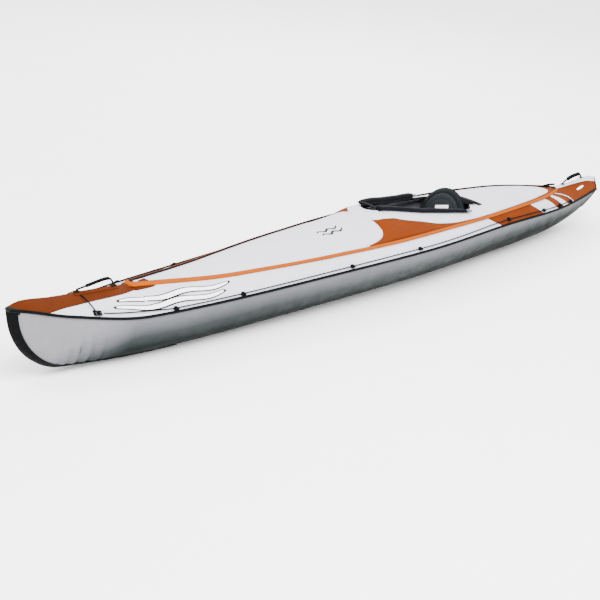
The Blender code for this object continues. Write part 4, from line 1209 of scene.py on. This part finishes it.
def rail_rings(side, reach, count=46):
    rings = []
    for share in np.linspace(0.003, reach - 0.003, count):
        x, y = rail_line(share)
        end = min(share, reach - share) / 0.03
        pinch = 0.72 + 0.28 * min(end, 1.0) ** 0.5
        height = (0.0225 + (0.0185 - 0.0225 if side > 0 else 0.0065) * share) * pinch
        base = max(cover_height(x, y + k) for k in (-0.015, 0.0, 0.015)) + 0.0024
        ring = []
        for k in range(20):
            angle = 2 * pi * k / 20
            square = 0.75 if sin(angle) > 0 else 0.25
            across = 0.0160 * pinch * abs(cos(angle)) ** square * (1 if cos(angle) > 0 else -1)
            rise = 0.5 * height * (1 + abs(sin(angle)) ** 0.75 * (1 if sin(angle) > 0 else -1))
            slack = 0.0008 * sin(37 * x + 2 * side) * sin(pi * share)
            ring.append((x, side * (y + across), base + rise + slack))
        rings.append(ring)
    return rings


def cockpit_rails():
    """The padded tubes on both edges of the cockpit, with a sewn seam and bound ends."""
    for name, side in SIDES:
        reach = RAIL_REACH[name]
        rings = rail_rings(side, reach)
        made = swell(lofted("rail_pad_" + name, rings, "pad_black"), 0.0016, 0.004, 2.0)
        padded_piece(made, "root", ["cockpit_rail_" + name])
        for k, ring in enumerate((rings[0], rings[-1])):
            bound = tube(f"rail_binding_{k}_{name}", ring, 0.0018, "web_black", closed=True, sides=3)
            finish_piece(bound, "root")
        seam = [ring[3] for ring in rings]
        welt = [(p[0], p[1] - side * 0.0310, p[2]) for p in (ring[0] for ring in rings)]
        welt = [(a, b, cover_height(a, b) + 0.0024) for a, b, _ in welt]
        finish_piece(tube("rail_welt_" + name, welt, 0.0034, "pad_black", sides=3), "root")
        stitches("rail_stitches_" + name, [Vector(p) + Vector((0, 0, 0.0012)) for p in seam], "thread_grey")


def cockpit_fittings():
    """The bound edge of the opening, the strap between the rails, and the buckles."""
    nose, tail = COCKPIT_FORE_X + COCKPIT_NOSE, COCKPIT_AFT_X - COCKPIT_TAIL
    middle, reach = 0.5 * (nose + tail), 0.5 * (nose - tail)
    path = []
    for angle in np.linspace(0, 2 * pi, 241)[:-1]:
        x = middle + reach * cos(angle)
        sign = 1 if sin(angle) >= 0 else -1
        px, py = x - 0.0075 * cos(angle), cockpit_half(x) * sign - 0.0075 * sin(angle)
        path.append((px, py, cover_height(px, py) - 0.0045))
    finish_piece(tube("opening_hem", path, 0.0036, "web_black", closed=True), "root",
                 ["cockpit_hem"])
    edge = []
    for angle in np.linspace(0, 2 * pi, 321)[:-1]:
        x = middle + reach * cos(angle)
        y = cockpit_half(x) * (1 if sin(angle) >= 0 else -1)
        edge.append((x, y, cover_height(x, y) - 0.0004))
    finish_piece(tube("opening_edge", edge, 0.0026, "web_black", closed=True, sides=3), "root")

    x, y = rail_line(0.0)
    base = cover_height(x + 0.025, 0.0) + 0.014
    rings = []
    for share in np.linspace(-1, 1, 40):
        low = base + 0.006 * (1 - share * share)
        ring = [(0.0085, 0), (0.0085, 0.0024), (0.012, 0.003), (0.026, 0.003), (0.0295, 0.0024), (0.0295, 0)]
        rings.append([(x + a, share * y, low + b) for a, b in ring])
    finish_piece(lofted("front_strap", rings, "web_black"), "root", ["rail_strap"])
    for name, side in SIDES:
        x, y = rail_line(RAIL_REACH[name])
        centre = Vector((x - 0.028, side * (y + 0.004), cover_height(x - 0.028, y) + 0.014))
        body = soft_box("buckle_" + name, centre + Vector((0, side * 0.0105, 0)), (0.036, 0.005, 0.009),
                        "plastic_grey", 0.002)
        for k, (place, size) in enumerate((((0, -0.0105, 0), (0.036, 0.005, 0.009)),
                                           ((0.0155, 0, 0), (0.005, 0.020, 0.008)),
                                           ((0.002, 0, 0.001), (0.005, 0.020, 0.006)),
                                           ((-0.0155, 0, 0), (0.005, 0.020, 0.008)))):
            place = Vector((place[0], side * place[1], place[2]))
            bar = soft_box(f"buckle_{name}_{k}", centre + place, size, "plastic_grey", 0.0016)
            bar.parent = body
        finish_piece(body, "root", ["rail_buckle_" + name])
        tape = soft_box("buckle_tape_" + name, centre + Vector((0.006, 0, -0.0035)), (0.040, 0.017, 0.0022),
                        "web_black", 0.0008)
        finish_piece(tape, "root")


def seat():
    """The padded seat base: crowned, with two channels along it and a bound edge."""
    base, half = FLOOR_TOP + 0.0012, 0.155
    rings, edge = [], []
    for share in np.linspace(-1, 1, 40):
        x = -0.515 + 0.170 * share
        close = (1 - abs(share) ** 6) ** 0.5
        height = 0.006 + (0.026 + 0.006 * abs(share)) * close
        ring = [(-half + 0.004, base), (half - 0.004, base), (half, base + height * 0.5),
                (half - 0.016, base + height), (half * 0.4, base + height), (-half * 0.4, base + height),
                (-half + 0.016, base + height), (-half, base + height * 0.5)]
        rings.append(rounded([(x, y, z) for y, z in ring]))
    made = lofted("seat_pad", rings, "seat_grey")
    swell(made, 0.0055, 0.006, 4.0)
    for line in (-0.055, 0.055):
        press_channel(made, lambda p, line=line: abs(p.y - line) + 9.0 * (p.z < base + 0.012), 0.0045, 0.006)
    flatten(made, base)
    padded_piece(made, "root", ["seat_cushion"])
    for angle in np.linspace(0, 2 * pi, 121)[:-1]:
        a, b = cos(angle), sin(angle)
        edge.append((-0.515 + 0.172 * abs(a) ** 0.25 * (1 if a > 0 else -1),
                     0.1575 * abs(b) ** 0.25 * (1 if b > 0 else -1), base + 0.016))
    finish_piece(tube("seat_binding", edge, 0.0022, "web_black", closed=True, sides=3), "root")


def flatten(made, low):
    """Rests a pad's underside flat on the surface below it."""
    for vertex in made.data.vertices:
        vertex.co.z = max(vertex.co.z, low)
    made.data.update()


def arch_outline(half, low, spring, top, steps=48):
    """The backrest's arched outline as (across, up), densely sampled."""
    points = [(half * 0.94 * (1 - 2 * k / 12), low) for k in range(12, -1, -1)]
    for k in range(steps + 1):
        angle = pi * k / steps
        points.append((half * cos(angle), spring + (top - spring) * sin(angle)))
    return points


def arched_pad(name, outline, front, back, material, centre):
    """A closed pad from scaled copies of an outline; front and back give depth for each scale."""
    rings = []
    for scale, depth in back[::-1] + front:
        ring = []
        for y, z in outline:
            point = Vector((depth, y * scale, centre + (z - centre) * scale))
            ring.append(LEAN @ point + HINGE)
        rings.append(ring)
    return lofted(name, rings, material)


def backrest():
    """The backrest: a padded arch with a thick outer bolster, a quilted front panel and a blank label."""
    outline = arch_outline(0.1525, -0.042, 0.101, 0.2675)
    scales = (1.0, 0.985, 0.95, 0.90, 0.86, 0.82, 0.78, 0.72, 0.60, 0.45, 0.30, 0.15, 0.03)
    depths = (0.003, 0.0085, 0.0125, 0.0135, 0.0120, 0.0085, 0.0100, 0.0105, 0.0105, 0.0105, 0.0105, 0.0105,
              0.0105)
    front = list(zip(scales[1:], depths[1:]))
    back = [(a, -b) for a, b in zip(scales, depths)]
    made = arched_pad("backrest_body", outline, [(1.0, 0.003)] + front, back, "seat_grey", 0.105)
    swell(made, 0.0025, 0.004, 2.0)
    padded_piece(made, "backrest", ["backrest_pad"])

    panel = arch_outline(0.119, 0.020, 0.101, 0.236)
    steps = np.linspace(1.0, 0.04, 60)
    front = []
    for scale in steps:
        seam = min(abs(scale - s) for s in (0.80, 0.60, 0.40))
        crown = 0.0065 * (1 - max(0.0, (scale - 0.93) / 0.07) ** 2)
        front.append((float(scale), 0.0160 + crown - 0.0035 * float(np.exp(-(seam / 0.022) ** 2))))
    made = arched_pad("backrest_quilt", panel, front, [(1.0, 0.0155), (0.04, 0.0155)], "panel_grey", 0.060)
    finish_piece(made, "backrest", ["backrest_panel"])
    for k, scale in enumerate((0.80, 0.60, 0.40)):
        seam = [LEAN @ Vector((0.0200, y * scale, 0.060 + (z - 0.060) * scale)) + HINGE
                for y, z in panel[14:-1]]
        thread = tube(f"quilt_thread_{k}", seam, 0.0006, "thread_grey", sides=1)
        finish_piece(thread, "backrest")

    turn = LEAN @ Matrix.Rotation(radians(15), 4, "X")
    label = soft_box("blank_label", LEAN @ Vector((0.0245, 0, 0.159)) + HINGE, (0.0014, 0.088, 0.018),
                     "label_white", 0.0005, turn)
    finish_piece(label, "backrest", ["backrest_label"])
    edge = [LEAN @ Vector((0.0, y * 1.008, 0.105 + (z - 0.105) * 1.008)) + HINGE for y, z in outline]
    binding = tube("backrest_binding", edge, 0.0026, "web_black", closed=True, sides=3)
    finish_piece(binding, "backrest")


def strap_rings(points, across, thick):
    """Rings of a flat strap; across gives half its width at each point, thick its other half."""
    rings = []
    for point, wide, deep in zip(points, across, thick):
        rings.append([point + wide * a + deep * b for a, b in ((-1, -1), (1, -1), (1, 1), (-1, 1))])
    return rings


def straps():
    """The webbing that holds the backrest: one strap on each side and one behind."""
    for name, side in SIDES:
        start = Vector((HINGE.x - 0.014, side * 0.159, HINGE.z + 0.056))
        end = Vector((-0.40, side * (chamber_wall(-0.40) - 0.010), 0.185))
        points = []
        for share in np.linspace(0, 1, 48):
            point = start.lerp(end, float(share))
            point.z -= 0.010 * 4 * share * (1 - share)
            points.append(point)
        rings = strap_rings(points, [Vector((0, 0, 0.0125))] * 48, [Vector((0, side * 0.0009, 0))] * 48)
        made = lofted("backrest_strap_" + name, rings, "web_black")
        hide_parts("side_strap_" + name)
        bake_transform(made)
        wall = min(chamber_wall(-0.34), chamber_wall(-0.40))
        anchor = soft_box("anchor_patch_" + name, (-0.372, side * (wall - 0.0030), 0.185),
                          (0.046, 0.0022, 0.040),
                          "rubber_black", 0.001)
        fold = soft_box("anchor_fold_" + name, (-0.384, side * (wall - 0.0062), 0.185),
                        (0.020, 0.0042, 0.027),
                        "web_black", 0.0014)
        finish_piece(anchor, "root", ["strap_anchor_" + name])
        finish_piece(fold, "root")

    top = Vector((HINGE.x - 0.092, 0, HINGE.z + 0.184))
    foot = Vector((-0.950, 0, cover_height(-0.950, 0) + 0.007))
    across, thick, points = [], [], []
    for share in np.linspace(0, 1, 40):
        point = top.lerp(foot, float(share)) + Vector((0.0005, 0, 0.0015))
        point.z -= 0.004 * sin(pi * share)
        points.append(point)
        across.append(Vector((0, 0.050 + 0.060 * share, 0)))
        thick.append(Vector((0.0004, 0, 0.0012)))
    made = lofted("rear_web", strap_rings(points, across, thick), "web_black")
    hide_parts("rear_strap")
    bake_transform(made)
    rings = []
    for x, half in ((-0.999, 0.105), (-0.990, 0.109), (-0.978, 0.110), (-0.966, 0.111), (-0.957, 0.113)):
        low = [(x, half * s, cover_height(x, half * s) + 0.0012) for s in np.linspace(-1, 1, 21)]
        rings.append(low + [(a, b * 0.985, c + 0.0024) for a, b, c in low[::-1]])
    finish_piece(lofted("foot_patch", rings, "rubber_black"), "root", ["rear_strap_patch"])


def foot_roll():
    """The padded foot brace on its body, and the webbing tracks it slides along."""
    x0, z0, half = 0.36, FLOOR_TOP + 0.060, chamber_wall(0.52) - 0.024
    rings = []
    sweep = np.linspace(0, 2 * pi, 41)[:-1]
    for share in np.linspace(-1, 1, 41):
        radius = 0.026 + 0.0255 * (1 - abs(share) ** 10) ** 0.5
        rings.append([(x0 + radius * cos(a), half * share, z0 + radius * sin(a)) for a in sweep])
    made = swell(lofted("foot_pad", rings, "seat_grey"), 0.0030, 0.005, 3.0)
    padded_piece(made, "foot_brace", ["foot_brace"])
    for k, y in enumerate((-half * 0.93, half * 0.93)):
        loop = [(x0 + 0.0515 * cos(a), y, z0 + 0.0515 * sin(a)) for a in np.linspace(0, 2 * pi, 61)[:-1]]
        finish_piece(tube(f"foot_binding_{k}", loop, 0.0022, "web_black", closed=True, sides=3),
                     "foot_brace")
    for name, side in SIDES:
        track = soft_box("foot_track_" + name, (x0, side * 0.06, FLOOR_TOP + 0.0015), (0.46, 0.038, 0.002),
                         "web_black", 0.0008)
        finish_piece(track, "root", ["foot_brace_track_" + name])


# ---------------------------------------------------------------- valves
def lathe(name, profile, place, axis, material, ribs=0, depth=0.0):
    """A turned part from (radius, height) pairs; ribs cut grip notches into its rim."""
    count = 96 if ribs else 48
    turn = Vector((0, 0, 1)).rotation_difference(Vector(axis)).to_matrix()
    rings = []
    for radius, height in profile:
        ring = []
        for k in range(count):
            angle = 2 * pi * k / count
            grip = depth * max(0.0, sin(ribs * angle)) ** 0.5 if radius > 0.012 else 0.0
            flat = Vector(((radius - grip) * cos(angle), (radius - grip) * sin(angle), height))
            ring.append(turn @ flat + Vector(place))
        rings.append(ring)
    return lofted(name, rings, material)


def valves():
    """Three inflation valves: two on the chambers' inner walls and one on the floor."""
    wall = chamber_wall(-0.24) - 0.004
    for prefix, place, axis in (("port", (-0.24, wall, 0.215), (0, -1, 0)),
                                ("starboard", (-0.24, -wall, 0.215), (0, 1, 0)),
                                ("floor", (-0.28, 0, FLOOR_TOP + 0.0005), (0, 0, 1))):
        ring = [(0.0072, 0.0), (0.0212, 0.0), (0.0220, 0.0008), (0.0220, 0.0026), (0.0214, 0.0034),
                (0.0176, 0.0054), (0.0168, 0.0060), (0.0080, 0.0060), (0.0072, 0.0054), (0.0072, 0.0)]
        body = lathe(prefix + "_flange", ring[:-1], place, axis, "plastic_black")
        hollow(body)
        finish_piece(body, "root", [prefix + "_valve_body"])
        pin = lathe(prefix + "_stem", [(0.0030, 0.0041), (0.0043, 0.0044), (0.0045, 0.0048),
                                       (0.0045, 0.0066),
                                       (0.0040, 0.0070), (0.0012, 0.0070)], place, axis, "plastic_grey")
        finish_piece(pin, prefix + "_valve_pin", [prefix + "_valve_pin"])
        cap = lathe(prefix + "_screw_cap", [(0.0150, 0.0075), (0.0184, 0.0077), (0.0190, 0.0083),
                                            (0.0190, 0.0120), (0.0183, 0.0128), (0.0140, 0.0130),
                                            (0.0130, 0.0122), (0.0040, 0.0122)],
                    place, axis, "plastic_black", 16, 0.0012)
        finish_piece(cap, prefix + "_valve_cap", [prefix + "_valve_cap"])


def hollow(made):
    """Turns a lathe's two end discs into a bore by bridging its first and last ring."""
    bm = bmesh.new()
    bm.from_mesh(made.data)
    discs = [f for f in bm.faces if len(f.verts) > 8]
    loops = [[e for e in f.edges] for f in discs]
    bmesh.ops.delete(bm, geom=discs, context="FACES_ONLY")
    bmesh.ops.bridge_loops(bm, edges=loops[0] + loops[1])
    bmesh.ops.recalc_face_normals(bm, faces=bm.faces)
    bm.to_mesh(made.data)
    bm.free()
    made.data.shade_smooth()


# ---------------------------------------------------------------- deck fittings
# Carry handles: front foot, rear foot, rise, grip radius and the loop's shape along its span
HANDLES = (
    ("bow", 1.893, 1.671, 0.031, 0.0082,
     ((0.0, 0.0), (0.10, 0.13), (0.50, 0.68), (0.70, 0.93), (0.80, 1.0), (0.92, 0.80), (1.0, 0.0))),
    ("stern", -1.945, -2.134, 0.022, 0.0115,
     ((0.0, 0.0), (0.15, 0.34), (0.40, 0.84), (0.60, 1.0), (0.80, 0.97), (0.93, 0.58), (1.0, 0.0))),
)


def carry_handles():
    """The carry handles on the ridge, their sleeves and the patches under their feet."""
    for name, front, rear, rise, thick, shape in HANDLES:
        points = []
        for share in np.linspace(0, 1, 70):
            x = front + (rear - front) * share
            lift = rise * max(smooth(shape, share), 0.0)
            points.append((x, 0, ridge(x) + 0.0120 + lift))
        body = name + "_handle"
        finish_piece(tube(name + "_loop", points, 0.0048, "web_black"), body, [body])
        finish_piece(tube(name + "_grip", points[18:60], thick, "rubber_black", sides=8),
                     body)
        rings = []
        for x in np.linspace(rear - 0.021, front + 0.021, 40):
            row = []
            for y in np.linspace(-0.0195, 0.0195, 9):
                share = min(abs(y) / half_beam(x), 1.0)
                row.append((x, y, deck_point(x, share)[1] + 0.0022))
            rings.append(row + [(a, b, c + 0.0010) for a, b, c in row[::-1]])
        strip = lofted(name + "_handle_strip", rings, "bow_brown" if name == "bow" else "deck_white")
        finish_piece(strip, "root", [body + "_base"])
        for k, x in enumerate((front, rear)):
            tab = soft_box(f"{name}_tab_{k}", (x, 0, ridge(x) + 0.0050), (0.030, 0.022, 0.0020),
                           "web_black", 0.0009)
            finish_piece(tab, "root")


def deck_matrix(x, share, lift, side):
    """A placing matrix on the side deck: X along the boat, Z out of the deck."""
    point = deck_place(x, share, side, lift)
    along = (deck_place(x + 0.02, share, side, lift) - deck_place(x - 0.02, share, side, lift)).normalized()
    outward = deck_place(x, share + 0.02, side, lift) - point
    up = along.cross(outward) * side
    up.normalize()
    across = up.cross(along).normalized()
    return Matrix.Translation(point) @ Matrix((along, across, along.cross(across))).transposed().to_4x4()


def free_cord(name, points, radius, replaced):
    """A short cord along its points; the real cord is held at both ends only."""
    made = finish_piece(tube(name, points, radius, "web_black"), "root", replaced)
    path = [tuple(point) for point in points]
    length = sum((Vector(b) - Vector(a)).length for a, b in zip(path, path[1:]))
    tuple(path[0])


def ring_and_cord():
    """The D-rings on their patches near the bow, and the short cords that run up to the ridge."""
    for name, side in SIDES:
        place = deck_matrix(1.862, 0.84, 0.0028, side)
        patch = soft_box("ring_patch_" + name, (0, 0, 0), (0.046, 0.030, 0.0022), "rubber_black", 0.0010,
                         place)
        finish_piece(patch, "root", ["dring_patch_" + name])
        place = deck_matrix(1.862, 0.84, 0.0075, side)
        path = []
        for k in range(49):
            angle = pi * k / 48
            path.append(place @ Vector((0.013 * cos(angle), side * 0.020 * sin(angle), 0)))
        path += [place @ Vector((x, 0, 0)) for x in np.linspace(-0.013, 0.013, 14)[1:-1]]
        finish_piece(tube("ring_" + name, path, 0.0019, "steel", closed=True), "dring_" + name,
                     ["dring_" + name])
        tab = soft_box("ring_tab_" + name, (0, 0, 0), (0.014, 0.010, 0.0068), "web_black", 0.0024,
                       place @ Matrix.Translation((0, side * -0.001, -0.0008)))
        finish_piece(tab, "root")
        points = []
        for share in np.linspace(0, 1, 60):
            x = 1.888 - 0.020 * share
            points.append(deck_place(x, 0.16 + 0.60 * share, side, 0.0055 + 0.004 * sin(pi * share)))
        free_cord("ring_cord_" + name, points, 0.0030, ["bow_cord_" + name])
    ends = [Vector((-1.775, -0.031, cover_height(-1.775, -0.031) + 0.0085)),
            Vector((-1.885, -0.020, ridge(-1.885) + 0.0085))]
    path = []
    for share in np.linspace(0, 1, 50):
        point = ends[0].lerp(ends[1], float(share))
        point.z += 0.004 * sin(pi * share)
        path.append(point)
    free_cord("stern_elastic", path, 0.0060, ["stern_strap"])


def build():
    camera()
    lights()
    backdrop()
    hull_skin()
    stem_strips()
    keel_bead()
    bow_cap()
    side_decks()
    end_decks()
    stern_panels()
    stern_trim()
    deck_cover()
    rim_band()
    seam_rows()
    printed_marks()
    gunwale_lines()
    side_chambers()
    air_floor()
    cockpit_rails()
    cockpit_fittings()
    seat()
    backrest()
    straps()
    foot_roll()
    valves()
    carry_handles()
    ring_and_cord()


build()
